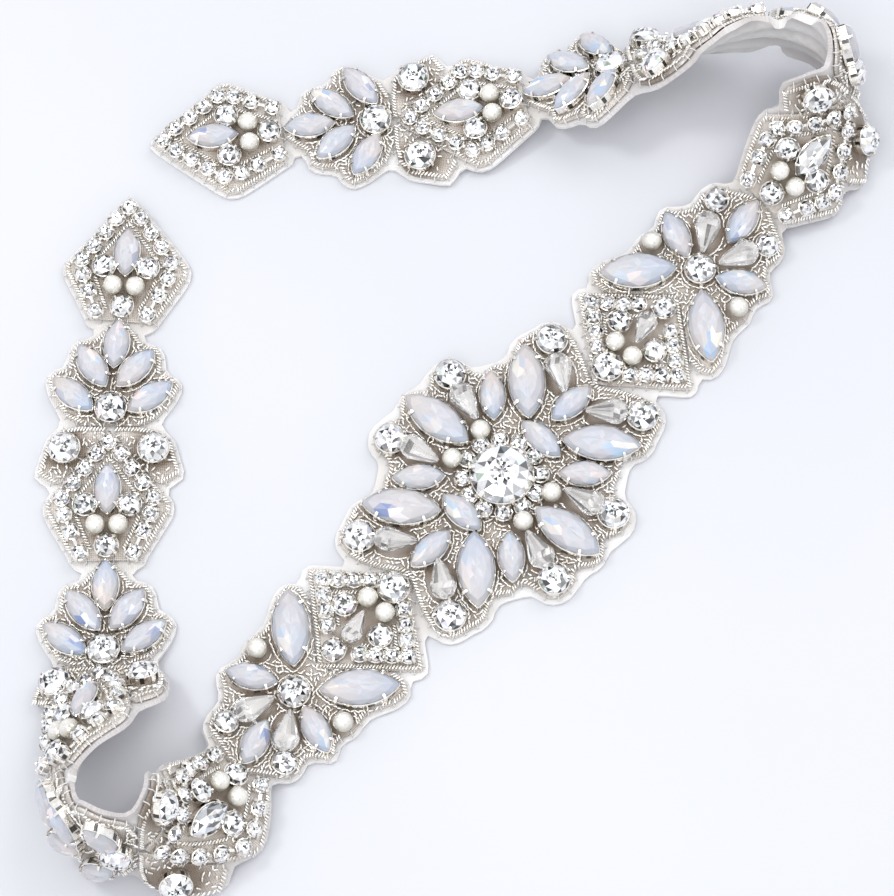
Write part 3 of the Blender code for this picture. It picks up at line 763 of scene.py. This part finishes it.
def painted_gap_shade(points, motif):
    """Painted shade: dark and warm in the narrow gaps between stones, and pale where the cloth is
    open.

    The framed motifs hold fewer beads, so their painted shade stays paler.
    """
    gap, open_at = (FRAMED_PAINTED_SHADE, FRAMED_OPEN_AT) if motif["chains"] else (GAP_PAINTED_SHADE, OPEN_AT)
    reach = [edge_distance(points, stone_rim(stone, sides=12)) for stone in motif["stones"]]
    nearest = np.sort(np.array(reach), axis=0)[:2]
    open_cloth = np.clip((nearest.mean(0) - GAP_END) / open_at, 0, 1)[:, None]
    return gap + (PALE_TINT - gap) * open_cloth


for motif in MOTIFS:
    edge = motif["outline"]
    patch, flat, area = sheet_of_cloth(
        f"organza_{motif['name']}", edge, lambda p: patch_height(p, edge) - PATCH_THICK,
        lambda p: patch_height(p, edge), organza, step=1.0,
        shade=lambda p: painted_gap_shade(p, motif))
    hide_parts(f"applique_{motif['name']}")
print(len(MOTIFS), "patches of organza")

# %% [markdown]
# ## Small hard things
# Stones, cups and beads are made once each, about their own centre, and stamped wherever the
# drawing has one. A stamp is a list of points and faces, so a whole motif's beads become one
# mesh. Instances would be lighter still, but one mesh for each kind in each motif can be
# picked, hidden or recoloured on its own.

# %% Shape a stamp
def stamp_of(points, faces, smooth=False):
    """A shape to stamp, with its faces turned outward."""
    shape = bmesh.new()
    corners = [shape.verts.new(p) for p in points]
    for face in faces:
        shape.faces.new([corners[i] for i in face])
    shape.verts.index_update()
    bmesh.ops.recalc_face_normals(shape, faces=shape.faces)
    turned = [tuple(v.index for v in face.verts) for face in shape.faces]
    shape.free()
    return np.array(points, dtype=float), turned, smooth


def rings_of(loops, capped=True):
    """Points and faces of a body through loops that have as many points each."""
    count = len(loops[0])
    points = [tuple(p) for loop in loops for p in loop]
    faces = []
    for k in range(len(loops) - 1):
        for i in range(count):
            j = (i + 1) % count
            faces.append((k * count + i, k * count + j,
                          (k + 1) * count + j, (k + 1) * count + i))
    if capped:
        faces += [tuple(range(count)), tuple(range(len(points) - count, len(points)))]
    return points, faces


def raised(loop, height):
    """A flat loop at a height."""
    return np.column_stack([loop, np.full(len(loop), height)])


print("a small navette's girdle starts at", raised(rim("small_navette", 8), 2.0)[0])

# %% Gather a motif's stamps
def joined(*shapes):
    """Several shapes as one list of points and faces."""
    points, faces = [], []
    for some_points, some_faces in shapes:
        faces += [tuple(i + len(points) for i in face) for face in some_faces]
        points += list(some_points)
    return points, faces


class Heap:
    """Stamped things of one kind in one motif, gathered into one mesh."""

    def __init__(self, name, material, slot):
        self.name, self.material, self.slot = name, material, slot
        self.points, self.faces, self.tints, self.smooth, self.count = [], [], [], [], 0

    def stamp(self, shape, place, shade):
        """Adds a shape at a place; shade is one colour, or one for each face."""
        points, faces, smooth = shape
        centre, along, across, out = place
        self.points.append(centre + points[:, :1] * along + points[:, 1:2] * across
                           + points[:, 2:] * out)
        self.faces += [tuple(i + self.count for i in face) for face in faces]
        self.tints.append(np.broadcast_to(shade, (len(faces), 3)))
        self.smooth += [smooth] * len(faces)
        self.count += len(points)

    def finish(self):
        """Makes the mesh, if anything was stamped, and lets it ride on the strip."""
        if not self.faces:
            return 0
        mesh = bpy.data.meshes.new(self.name)
        mesh.from_pydata(np.vstack(self.points) * MM, [], self.faces)
        mesh.polygons.foreach_set("use_smooth", self.smooth)
        sides = [len(face) for face in self.faces]
        colours = np.repeat(np.vstack(self.tints), sides, axis=0)
        layer = mesh.color_attributes.new("tint", "FLOAT_COLOR", "CORNER")
        layer.data.foreach_set("color", np.column_stack([colours, np.ones(len(colours))]).ravel())
        mesh.materials.append(self.material)
        piece = put(self.name, mesh)
        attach(piece, "root")
        return len(self.faces)


print("a heap is made for each kind of thing in each motif")

# %% Find the seats
def seats(places, turns, height):
    """Where things sit on the strip: centres, and their own three directions."""
    s, t = np.array(places, dtype=float).reshape(-1, 2).T
    along, across, out = frame_at(s, t)
    turns = np.radians(np.broadcast_to(turns, len(s)))[:, None]
    u = along * np.cos(turns) + across * np.sin(turns)
    centre = on_sheet(s, t) + out * height
    return list(zip(centre, u, np.cross(out, u), out))


print("the centre stone's cup stands at, mm:", seats([(0, 0)], 0, STONE_SEAT)[0][0])

# %% [markdown]
# ### Cut stones
# A cut stone has a girdle, where it is widest, a flat table on top, and rows of triangular
# facets between the two. Three loops, each turned half a step from the next, give those rows.
# A table also shows the facets of the stone's back, so it is divided into one or more stars
# whose points tip up and down by less than a tenth of a millimetre. A real back cut under a
# clear front would be truer, but needs many light bounces to show as much.

# %% Choose the cuts
TABLE_SHARE = 0.56                      # the table's size against the whole stone's
STAR_DEPTH = 0.09                       # how far a table's inner facets tip up and down
CUTS = {
    # kind: facets round the girdle, stars in the table
    "large_navette": (10, 1), "small_navette": (8, 1), "centre_stone": (16, 3),
    "round_stone": (10, 2), "little_round": (8, 1), "chain_stone": (6, 1),
    "ring_stone": (6, 1),
}
print(len(CUTS), "kinds of cut")

# %% Cut the stones
def cut_stone(kind, sides, stars):
    """A faceted stone with its girdle on the kind's rim, and rings of facets in its table.

    Also gives each face's share of the way from the girdle, 0, to the table's middle, 1.
    """
    girdle, table = STONES[kind][2:]
    loops = [raised(rim(kind, 2 * sides, 0.72), girdle - 1.0),
             raised(rim(kind, 2 * sides), girdle),
             raised(rim(kind, sides, 0.86), girdle + 0.55 * (table - girdle)),
             raised(rim(kind, sides, TABLE_SHARE, shift=0.5), table)]
    points, faces = rings_of(loops[:2], capped=False)
    edge, middle, top = 2 * sides, 4 * sides, 5 * sides
    faces.append(tuple(range(edge)))
    share = [0.0] * len(faces)
    points += [tuple(p) for loop in loops[2:] for p in loop]
    for k in range(sides):
        after = (k + 1) % sides
        faces += [(edge + (2 * k - 1) % (2 * sides), edge + 2 * k, middle + k),
                  (edge + 2 * k, edge + 2 * k + 1, middle + k),
                  (edge + 2 * k + 1, middle + after, middle + k),
                  (middle + k, middle + after, top + k),
                  (middle + after, top + after, top + k)]
        share += [0.2, 0.2, 0.3, 0.6, 0.6]
    for star in range(stars):
        inner = top + sides
        size = TABLE_SHARE * (1 - (star + 1) / (stars + 1))
        for k, (u, v) in enumerate(rim(kind, sides, size, shift=(star % 2) * 0.5)):
            points.append((u, v, table + STAR_DEPTH * (-1) ** k * (1 if star % 2 else -1)))
        for k in range(sides):
            after = (k + 1) % sides
            near = inner + (after if star % 2 == 0 else k)
            faces += [(top + k, top + after, near),
                      (inner + k, top + (k if star % 2 == 0 else after), inner + after)]
            share += [0.8, 0.9]
        top = inner
    points.append((0.0, 0.0, table + 0.03))
    faces += [(top + k, top + (k + 1) % sides, top + sides) for k in range(sides)]
    share += [1.0] * sides
    return stamp_of(points, faces), np.array(share)


CUT = {kind: cut_stone(kind, *cut) for kind, cut in CUTS.items()}
print({kind: len(share) for kind, (shape, share) in CUT.items()}, "faces a stone")

# %% [markdown]
# ### Cups and claws
# Each stone sits in a thin metal cup that is sewn down through holes in its base. Four claws,
# or six on the centre stone, rise outside the cup and bend over the girdle to hold it. The wall
# of a cup is pierced all round, so light reaches the stone. Real slots would be hundreds of
# tiny cuts, so every fourth face of the wall is only painted nearly black, the painted shade
# that such a slot shows from outside.

# %% Bend the claws
QUARTERS = (45, 135, 225, 315)
CUPS = {
    # kind: sides of its cup, angles of its claws, a claw's width, its reach over the stone
    "large_navette": (36, (52, 128, 232, 308), 0.75, 0.60),
    "small_navette": (28, (50, 130, 230, 310), 0.60, 0.48),
    "round_stone": (24, QUARTERS, 0.60, 0.48), "little_round": (20, QUARTERS, 0.60, 0.48),
    "centre_stone": (36, range(0, 360, 60), 1.10, 0.80),
    "chain_stone": (12, QUARTERS, 0.62, 0.42), "ring_stone": (12, QUARTERS, 0.62, 0.42),
}
CUP_GROW, CUP_WALL, SLOT_SHADE = 0.04, 0.2, 0.10
CLAW_LEG, CLAW_TIP = (0.26, 0.0), (0.1, 0.24)   # how thick outward, and how thick upward


def claw(kind, angle, width, reach):
    """A claw at an angle round a stone: it climbs the cup and folds over the edge."""
    girdle = STONES[kind][2]
    fine = rim(kind, 720)
    at = round(math.degrees(angle) * 2) % 720
    tangent = unit(fine[(at + 4) % 720] - fine[at - 4])
    outward = np.array([tangent[1], -tangent[0]])
    bends = (
        # out from the rim, height, share of the width
        (0.22, 0.3, 1.0), (0.24, girdle * 0.7, 1.0), (0.18, girdle + 0.25, 0.9),
        (-reach * 0.4, girdle + 0.58, 0.75), (-reach, girdle + 0.68, 0.5),
    )
    loops = []
    for off, height, share in bends:
        half = tangent * width / 2 * share
        foot = fine[at] + outward * off
        thick, lift = CLAW_LEG if off > 0 else CLAW_TIP
        back = foot + outward * thick
        loops.append([(*(foot - half), height), (*(foot + half), height),
                      (*(back + half), height + lift), (*(back - half), height + lift)])
    return rings_of(loops)


print(len(claw("round_stone", 0.8, 0.6, 0.5)[1]), "faces a claw")

# %% Form the cups and join them to their claws
def cup(kind, sides):
    """A thin-walled cup that stands as high as the stone's girdle."""
    girdle = STONES[kind][2]
    walls = ((-0.1, -0.1), (CUP_WALL * 0.4, 0.0), (CUP_WALL * 0.7, 0.45),
             (CUP_WALL, girdle * 0.9), (0.0, girdle * 0.98), (-0.05, 0.4))
    return rings_of([raised(rim(kind, sides, grow=CUP_GROW + out), height)
                     for out, height in walls])


def slots(kind, faces):
    """A brightness for each face of a setting, with painted shade where its cup's wall is pierced
    all round.
    """
    sides = CUPS[kind][0]
    shades = np.ones((faces, 3))
    shades[2 * sides:3 * sides:4] = SLOT_SHADE
    return shades


SETTINGS = {}
for kind, (sides, angles, width, reach) in CUPS.items():
    claws = [claw(kind, math.radians(angle), width, reach) for angle in angles]
    SETTINGS[kind] = stamp_of(*joined(cup(kind, sides), *claws))
print({kind: len(shape[1]) for kind, shape in SETTINGS.items()}, "faces a setting")

# %% [markdown]
# ### Pearls, drops and seed beads
# Pearls are slightly flattened balls. The drops are glass beads cut with long flat facets,
# narrow at the inner end and widest near the outer one. Seed beads are tiny tubes with round
# edges, which at this size read as short fat grains, so five sides are enough for each. All
# of them are turned from a profile by one function, where Blender's own balls and cones would
# need cutting and squashing one kind at a time.

# %% Turn the beads
DROP_SIDES, DROP_FLUTE, DROP_SQUASH, DROP_LIFT = 16, 0.08, 0.86, 2.1
DROP_RINGS = (
    # along, radius, turn: narrow inside, widest near the outer end
    (-1.0, 0.16, 0.0), (-0.72, 0.40, 0.0), (0.30, 1.0, 0.0), (0.62, 0.94, 0.5),
    (0.90, 0.60, 0.0), (1.0, 0.26, 0.5),
)


def turned_body(profile, sides, flute=0.0, squash=1.0, lift=0.0):
    """A body turned about its own length, from rings of (along, radius, turn)."""
    step = np.arange(sides)
    loops = []
    for along, radius, turn in profile:
        angle = 2 * math.pi * (step + turn) / sides
        r = radius * (1 - flute * (step % 2))
        loops.append(np.column_stack([np.full(sides, along), r * np.cos(angle),
                                      r * np.sin(angle) * squash + lift]))
    return rings_of(loops)


def oval(length, width, count, ends):
    """An oval's rings from end to end; the end ones have a small share of its width."""
    angles = np.linspace(math.pi, 0, count)
    return [(length / 2 * math.cos(a), max(width / 2 * math.sin(a), width * ends), 0)
            for a in angles]


def cut_drop(length, width):
    """A drop with long flat facets."""
    rings = [(length / 2 * share, width / 2 * radius, turn)
             for share, radius, turn in DROP_RINGS]
    return turned_body(rings, DROP_SIDES, DROP_FLUTE, DROP_SQUASH, DROP_LIFT)


PEARL = stamp_of(*turned_body(oval(4.0, 4.0, 13, 0.03), 20, squash=0.95, lift=1.85),
                 smooth=True)
DROPS = {kind: stamp_of(*cut_drop(*STONES[kind][:2])) for kind in ("drop", "small_drop")}
SEED_BEAD = stamp_of(*turned_body(oval(1.1, 0.52, 4, 0.22), 5), smooth=True)
LINK = stamp_of(*rings_of([raised([(-0.7, -0.3), (0.7, -0.3), (0.7, 0.3), (-0.7, 0.3)], h)
                           for h in (0.55, 0.95)]))
print(len(PEARL[1]), "faces a pearl,", len(SEED_BEAD[1]), "faces a seed bead")

# %% [markdown]
# ## Colours that differ from piece to piece
# No two facets send back the same light. A seeded random draw gives each facet of a crystal a
# grey, mostly bright with a few near black: a painted reflection. An opal is one milky colour
# that warms towards one end, with painted shade near its girdle, and a few facets beside each
# other are painted to flash blue and cream. The small stones in the two innermost diamonds are
# clear as ice, in softer painted greys. Pearls carry painted shading and the drops painted
# streaks. Seed beads vary from silver to gold.
# Painting the colours by hand would look as good, but there are thousands of facets.

# %% Draw the tints
draw = np.random.default_rng(12)
# The greys are painted reflections: what each facet of a crystal, and its dark eye, sends back.
CROWN_GREYS = np.array([1.05, 1.05, 1.0, 0.95, 0.95, 0.9, 0.85, 0.75, 0.55, 0.25, 0.06])
STAR_GREYS = np.array([1.1, 1.05, 1.0, 0.95, 0.95, 0.9, 0.8, 0.4, 0.12, 0.04])
EYE_GREYS, COLOURED_SHARE = np.array([1.0, 0.6, 0.15, 0.04]), 0.12
ICE_GREYS = np.array([0.16, 0.36, 0.55, 0.68, 0.80, 0.88, 0.95, 1.05])
# The flashes are painted flashes of light on the opals' facets.
FLASHES = (((0.30, 0.44, 0.62), (0.80, 0.76, 0.66)), ((0.38, 0.52, 0.66), (0.82, 0.79, 0.70)),
           ((0.16, 0.23, 0.44), (0.78, 0.78, 0.80)), ((0.44, 0.55, 0.66), (0.82, 0.71, 0.65)))
BEAD_COLOURS = np.array([(0.92, 0.91, 0.89), (0.88, 0.84, 0.78), (0.98, 0.98, 0.97),
                         (0.80, 0.75, 0.68), (0.92, 0.90, 0.86)])
print(len(FLASHES), "kinds of flash in an opal,", len(BEAD_COLOURS), "colours of bead")

# %% Tint the clear stones
def crystal_painted_reflections(share):
    """Painted reflections: a grey for each facet, a darker eye, and a breath of colour here and
    there.
    """
    greys = np.where(share < 0.7, draw.choice(CROWN_GREYS, len(share)),
                     draw.choice(STAR_GREYS, len(share)))
    eye = share == 1.0
    greys[eye] = draw.choice(EYE_GREYS, int(eye.sum()))
    shades = greys[:, None] * np.ones(3)
    coloured = draw.random(len(share)) < COLOURED_SHARE
    shades[coloured] *= draw.uniform(0.75, 1.0, (int(coloured.sum()), 3))
    return shades


def ice_painted_reflections(share):
    """Painted reflections in soft greys with a cool or a warm breath: clear stones without a
    bright foil.
    """
    greys = draw.choice(ICE_GREYS, len(share))[:, None]
    return greys * (1 + draw.uniform(-0.06, 0.06, (len(share), 1)) * np.array((1.0, 0.2, -1.0)))


print("darkest grey of a clear facet:", CROWN_GREYS.min())

# %% Tint the opals
def opal_milk_shade_and_flashes(kind):
    """Milk, warmer towards one end, with painted shade near the girdle and painted flashes: a
    blue and a cream patch of facets side by side.
    """
    (points, faces, _), share = CUT[kind]
    half_size = np.array(STONES[kind][:2]) / 2
    middle = np.array([points[list(face), :2].mean(0) for face in faces]) / half_size
    # Painted shade: the facets near the girdle are greyer and darker than the heart.
    edge, heart = np.array((0.37, 0.374, 0.40)), np.array((0.495, 0.497, 0.522))
    shades = edge + (heart - edge) * np.clip(share * 1.5, 0, 1)[:, None]
    warmth = middle[:, :1] * draw.normal(0, 0.09) + draw.normal(0.0, 0.02)
    shades = shades * (1 + warmth * np.array((1.0, 0.2, -0.7)))
    shades = shades * draw.uniform(0.94, 1.05, (len(share), 1))
    around = np.arctan2(middle[:, 1], middle[:, 0]) - draw.uniform(0, 2 * math.pi)
    around = around % (2 * math.pi)
    strength = draw.uniform(0.2, 1.0)
    blue, cream = FLASHES[draw.integers(len(FLASHES))]
    # The blue and cream patches are painted flashes of light.
    for start, end, colour in ((0.0, 0.6, blue), (0.6, 1.3, cream)):
        patch = (around >= start) & (around < end) & (share > 0.25) & (share < 0.95)
        part = strength * draw.uniform(0.5, 1.0, (int(patch.sum()), 1))
        shades[patch] += (np.array(colour) - shades[patch]) * part
    return shades


print("each opal draws its own warmth, flash and strength")

# %% Tint the pearls, drops and beads
def pearl_painted_shading(points, faces):
    """Painted shading: ivory at the crown, duller and more olive down the sides where shade
    falls, and a paler foot, painted light bounced up from the cloth.
    """
    height = np.array([points[list(face), 2].mean() for face in faces])
    # Painted shade grows down the sides; the foot gets painted bounce light.
    up = np.clip((height - 1.9) / 1.7, 0, 1)[:, None] ** 1.3
    foot = np.clip((1.75 - height) / 1.2, 0, 1)[:, None]
    side = np.array((0.58, 0.555, 0.48)) * (1 - foot) + np.array((0.80, 0.77, 0.68)) * foot
    return np.array((1.05, 1.04, 1.02)) * up + side * (1 - up)


def drop_painted_streaks(faces):
    """Painted streaks of light: a brightness for each long facet, most of them bright."""
    greys = draw.choice([0.35, 0.8, 1.05, 1.15, 1.25, 1.35], faces)
    return greys[:, None] * np.array((1.0, 0.985, 0.97))


def bead_tint():
    """One of the bead colours, a little brighter or duller."""
    return BEAD_COLOURS[draw.integers(len(BEAD_COLOURS))] * draw.uniform(0.85, 1.08)


print("a pearl's brightest tint:", pearl_painted_shading(*PEARL[:2]).max(0))

# %% [markdown]
# ## Set the stones
# Now each motif is set: its stones, the cup chain of its frame with a link between neighbours,
# and the pearls and drops. Cup chain is bought by the metre and cut, so its stones keep an even
# pitch along each straight stretch, with one on every corner.

# %% Line up a chain
CHAIN_PITCH, WOBBLE = 3.2, 2             # millimetres, and degrees that a stone may be askew


def chain_places(line):
    """Places of a chain's stones: the line's own corners, with stones spaced between them."""
    found = [line[0]]
    for start, end in zip(line, line[1:]):
        gaps = max(1, round(math.dist(start, end) / CHAIN_PITCH))
        found += [tuple(np.array(start) + (np.array(end) - start) * (k + 1) / gaps)
                  for k in range(gaps)]
    return found


def heading_of(start, end):
    """The direction from one place to another, in degrees."""
    return math.degrees(math.atan2(end[1] - start[1], end[0] - start[0]))


print(len(chain_places(SQUARE_CHAIN)), "chain stones on one side of a square")

# %% Set every motif
def set_motif(motif):
    """Stamps a motif's stones, settings, chain, pearls and drops."""
    name = motif["name"]
    opals = Heap(f"opals_{name}", opal, "opal_stone")
    crystals = Heap(f"crystals_{name}", crystal, "clear_stone")
    settings = Heap(f"settings_{name}", silver, "silver_metal")
    pearls = Heap(f"pearls_{name}", pearl, "pearl")
    drops = Heap(f"drops_{name}", clear_glass, "clear_bead")
    plate = np.array((1.0, 0.98, 0.95))
    stones = list(motif["stones"])
    for line in motif["chains"]:
        places = chain_places(line)
        for k, here in enumerate(places):
            near = places[k + 1] if k + 1 < len(places) else places[k - 1]
            stones.append(("chain_stone", *here, heading_of(here, near)))
        for here, there in zip(places, places[1:]):
            middle = (np.array(here) + there) / 2
            seat = seats([middle], heading_of(here, there), STONE_SEAT)[0]
            settings.stamp(LINK, seat, plate)
    motif["all_stones"] = stones
    for kind, s, t, turn in stones:
        askew = turn + draw.uniform(-WOBBLE, WOBBLE)
        seat = seats([(s, t)], askew, STONE_SEAT)[0]
        if kind == "pearl":
            pearls.stamp(PEARL, seat, pearl_painted_shading(*PEARL[:2]))
        elif kind in DROPS:
            drops.stamp(DROPS[kind], seat, drop_painted_streaks(len(DROPS[kind][1])))
        else:
            cut, share = CUT[kind]
            if kind == "small_navette" and "diamond_1" in name:
                crystals.stamp(cut, seat, ice_painted_reflections(share))
            elif "navette" in kind:
                opals.stamp(cut, seat, opal_milk_shade_and_flashes(kind))
            else:
                crystals.stamp(cut, seat, crystal_painted_reflections(share))
            wear = plate * draw.uniform(0.9, 1.05)
            settings.stamp(SETTINGS[kind], seat, slots(kind, len(SETTINGS[kind][1])) * wear)
    return sum(heap.finish() for heap in (opals, crystals, settings, pearls, drops))


print(sum(set_motif(motif) for motif in MOTIFS), "faces of stones and settings")

# %% [markdown]
# ## Sew on the seed beads
# A rope of slanted beads outlines every motif, and more beads fill the organza round the
# stones. A bead is left out where it would touch a stone, another bead or the patch's edge.
# Trying beads one by one like this packs them as unevenly as a hand does.

# %% Line up the beads
ROPE_INSET, CHAIN_INSET, ROPE_PITCH, ROPE_SLANT = 0.5, 2.1, 0.62, 58
HALO_GAP, HALO_PITCH, BEAD_ROOM, STONE_ROOM = 0.75, 0.86, 0.60, 0.36
ROPE_ROOM, ROPE_STONE_ROOM = ROPE_PITCH * 0.8, 0.12
FILL_PITCH, FILL_TRIES, EAR_TRIES = 0.7, 3, 0.5


def rope_line(motif, line, inset):
    """Places and turns of a rope's beads, at an inset from a line towards the middle."""
    closed = line[0] == line[-1]
    if closed:
        line = trimmed(line[:-1]) if len(line) > 6 else np.array(line[:-1])
    places, step = spaced(line, ROPE_PITCH, closed=closed)
    aside = np.stack([-step[:, 1], step[:, 0]], axis=1)
    if (aside * (motif["outline"].mean(0) - places)).sum() < 0:
        aside = -aside
    return places + aside * inset, turns_of(step)


def halo_line(stone, gap):
    """Places and turns of beads round a stone."""
    places, step = spaced(stone_rim(stone, gap), HALO_PITCH, closed=True)
    return places, turns_of(step)


def fill_places(motif):
    """Places scattered all over a motif, for beads in any direction."""
    low, high = motif["outline"].min(0), motif["outline"].max(0)
    tries = EAR_TRIES if "ear" in motif["name"] else FILL_TRIES
    count = int(tries * np.prod((high - low) / FILL_PITCH))
    return draw.uniform(low, high, (count, 2)), draw.uniform(0, 180, count)


ready = halo_line(("pearl", 0.0, 0.0, 0), HALO_GAP)[0]
print("a pearl has room for", len(ready), "beads round it")

# %% Sew the beads
def sew_beads(motif):
    """Beads along the motif's ropes, then round its stones where there is room."""
    rims = [stone_rim(stone, 0.2, 16) for stone in motif["all_stones"]]
    beads = Heap(f"beads_{motif['name']}", seed_glass, "seed_bead")
    rows = [(*rope_line(motif, line, ROPE_INSET), True) for line in motif["ropes"]]
    rows += [(*rope_line(motif, line, CHAIN_INSET), True) for line in motif["chains"]]
    if not motif["chains"]:
        if "ear" not in motif["name"]:
            rows += [(*halo_line(stone, HALO_GAP), False) for stone in motif["stones"]]
        rows.append((*fill_places(motif), False))
    kept = np.empty((0, 2))
    for places, turns, rope in rows:
        room, stone_room = (ROPE_ROOM, ROPE_STONE_ROOM) if rope else (BEAD_ROOM, STONE_ROOM)
        clear = inside(places, motif["outline"])
        for edge in rims:
            clear &= ~inside(places, edge) & (edge_distance(places, edge) > stone_room)
        chosen = []
        for spot, turn, free in zip(places, turns, clear):
            if not free:
                continue
            others = np.vstack([kept, np.array(chosen).reshape(-1, 2)])
            if len(others) and np.linalg.norm(others - spot, axis=1).min() < room:
                continue
            chosen.append(spot)
            slant = ROPE_SLANT if rope else draw.uniform(-25, 25)
            seat = seats([spot], turn + slant, STONE_SEAT + draw.uniform(0.1, 0.3))[0]
            beads.stamp(SEED_BEAD, seat, bead_tint())
        kept = np.vstack([kept, np.array(chosen).reshape(-1, 2)])
    beads.finish()
    return len(kept)


print(sum(sew_beads(motif) for motif in MOTIFS), "seed beads sewn")

# %% [markdown]
# ## Stitch the patches down
# Each patch is whipped to the backing with small stitches over its edge, from the organza down
# to the satin. They are short bent tubes, stamped like the beads. A line drawn by the material
# would be simpler, but a real stitch stands up and catches the light on its bend.

# %% Bend a stitch
STITCH_PITCH, STITCH_SPREAD, STITCH_SINK, STITCH_RADIUS = 2.6, 14, 0.05, 0.12
STITCH_BENDS = ((-0.75, 1.02), (-0.25, 1.16), (0.12, 0.98), (0.34, 0.46), (0.52, 0.06))


def bent_tube(bends, radius, sides=5):
    """A tube through (outward, height) points."""
    angle = 2 * math.pi * np.arange(sides) / sides
    line = np.array(bends)
    along = unit(np.gradient(line, axis=0))
    loops = []
    for (u, z), (du, dz) in zip(line, along):
        loops.append(np.column_stack([u - dz * radius * np.cos(angle), radius * np.sin(angle),
                                      z + du * radius * np.cos(angle)]))
    return rings_of(loops)


STITCH = stamp_of(*bent_tube(STITCH_BENDS, STITCH_RADIUS), smooth=True)
print(len(STITCH[1]), "faces a stitch")

# %% Sew the edge stitches
def stitch_edge(motif):
    """Stitches over a patch's edge, pointing out of it, a little unevenly."""
    places, step = spaced(motif["outline"], STITCH_PITCH, closed=True)
    outward = np.stack([step[:, 1], -step[:, 0]], axis=1)
    if inside(places + outward * 0.3, motif["outline"]).mean() > 0.5:
        outward = -outward
    heap = Heap(f"stitches_{motif['name']}", thread, "backing_cloth")
    for spot, turn in zip(places, turns_of(outward)):
        turn = turn + draw.uniform(-1, 1) * STITCH_SPREAD
        seat = seats([spot], turn, BACKING_THIN - STITCH_SINK)[0]
        heap.stamp(STITCH, seat, np.full(3, draw.uniform(0.85, 1.0)))
    heap.finish()
    return len(places)


print(sum(stitch_edge(motif) for motif in MOTIFS), "stitches")

# %% [markdown]
# ## Stage, light and camera
# The sash lies on a plain pale floor. A broad soft light from the right and behind gives the
# low shadows, another from the front fills them, and a small bright one makes the stones
# sparkle. The small one stands to the side: straight above, it would be mirrored in every flat
# table at once. The world is a pale room with darker walls, because faceted stones look dead
# when all they can mirror is white.

# %% Lay the floor
floor_material, tree, shader = surface("pale_table", Roughness=0.75)
speckle = mixed(tree, cloudy(tree, 8, 2.0), (0.56, 0.565, 0.60, 1), (0.58, 0.585, 0.615, 1))
tree.links.new(speckle, shader.inputs["Base Color"])
FLOOR_REACH, FLOOR_DROP = 3.0, 0.0002   # metres; it lies just under the cloth
floor_mesh = bpy.data.meshes.new("floor")
floor_mesh.from_pydata([(x * FLOOR_REACH, y * FLOOR_REACH, -FLOOR_DROP)
                        for x, y in ((-1, -1), (1, -1), (1, 1), (-1, 1))], [], [(0, 1, 2, 3)])
floor_mesh.materials.append(floor_material)
floor = put("floor", floor_mesh)
print("the floor is", 2 * FLOOR_REACH, "metres wide")

# %% Light it
LAMPS = {
    # name: where it hangs in metres, its size, its power in watts
    "key": ((0.42, 0.38, 0.80), 0.50, 2.4),
    "sparkle": ((-0.45, 0.10, 0.75), 0.15, 1.6),
    "fill": ((-0.12, -0.36, 0.80), 0.60, 2.7),
}
for name, (spot, size, power) in LAMPS.items():
    lamp = bpy.data.lights.new(name, "AREA")
    lamp.size, lamp.energy = size, power
    holder = put(name, lamp)
    holder.location = spot
    holder.rotation_euler = (-Vector(spot)).to_track_quat("-Z", "Y").to_euler()

world = bpy.data.worlds.new("pale_room")
world.use_nodes = True
room = world.node_tree
direction = node(room, "TexCoord").outputs["Generated"]
walls = node(room, "TexNoise", {"Vector": direction, "Scale": 2.6, "Detail": 1.0}).outputs[0]
patches = node(room, "MapRange", {0: walls, 1: 0.36, 2: 0.42}).outputs[0]
shade = mixed(room, patches, (0.10, 0.10, 0.11, 1), (0.98, 1.0, 1.04, 1))
room.links.new(shade, room.nodes["Background"].inputs["Color"])
room.nodes["Background"].inputs["Strength"].default_value = 1.10
bpy.context.scene.world = world
bpy.context.scene.view_settings.view_transform = "Standard"

# %% [markdown]
# The camera looks down steeply from the front, from far enough away that near and far motifs
# keep the same size.

# %% Place the camera
ELEVATION, DISTANCE, FOCAL = 70.0, 0.70, 145.2
AIM_X, AIM_Y = -10.5, 6.9               # millimetres from the centre stone
TARGET = Vector((MIDDLE_X + AIM_X, MIDDLE_Y + AIM_Y, 0.0)) * MM
camera_data = bpy.data.cameras.new("camera")
camera_data.lens, camera_data.sensor_width = FOCAL, 36.0
camera = put("camera", camera_data)
tilt = math.radians(ELEVATION)
camera.location = TARGET + Vector((0.0, -math.cos(tilt), math.sin(tilt))) * DISTANCE
camera.rotation_euler = (math.pi / 2 - tilt, 0.0, 0.0)
bpy.context.scene.camera = camera
print("the camera looks down at", ELEVATION, "degrees from", DISTANCE, "metres")
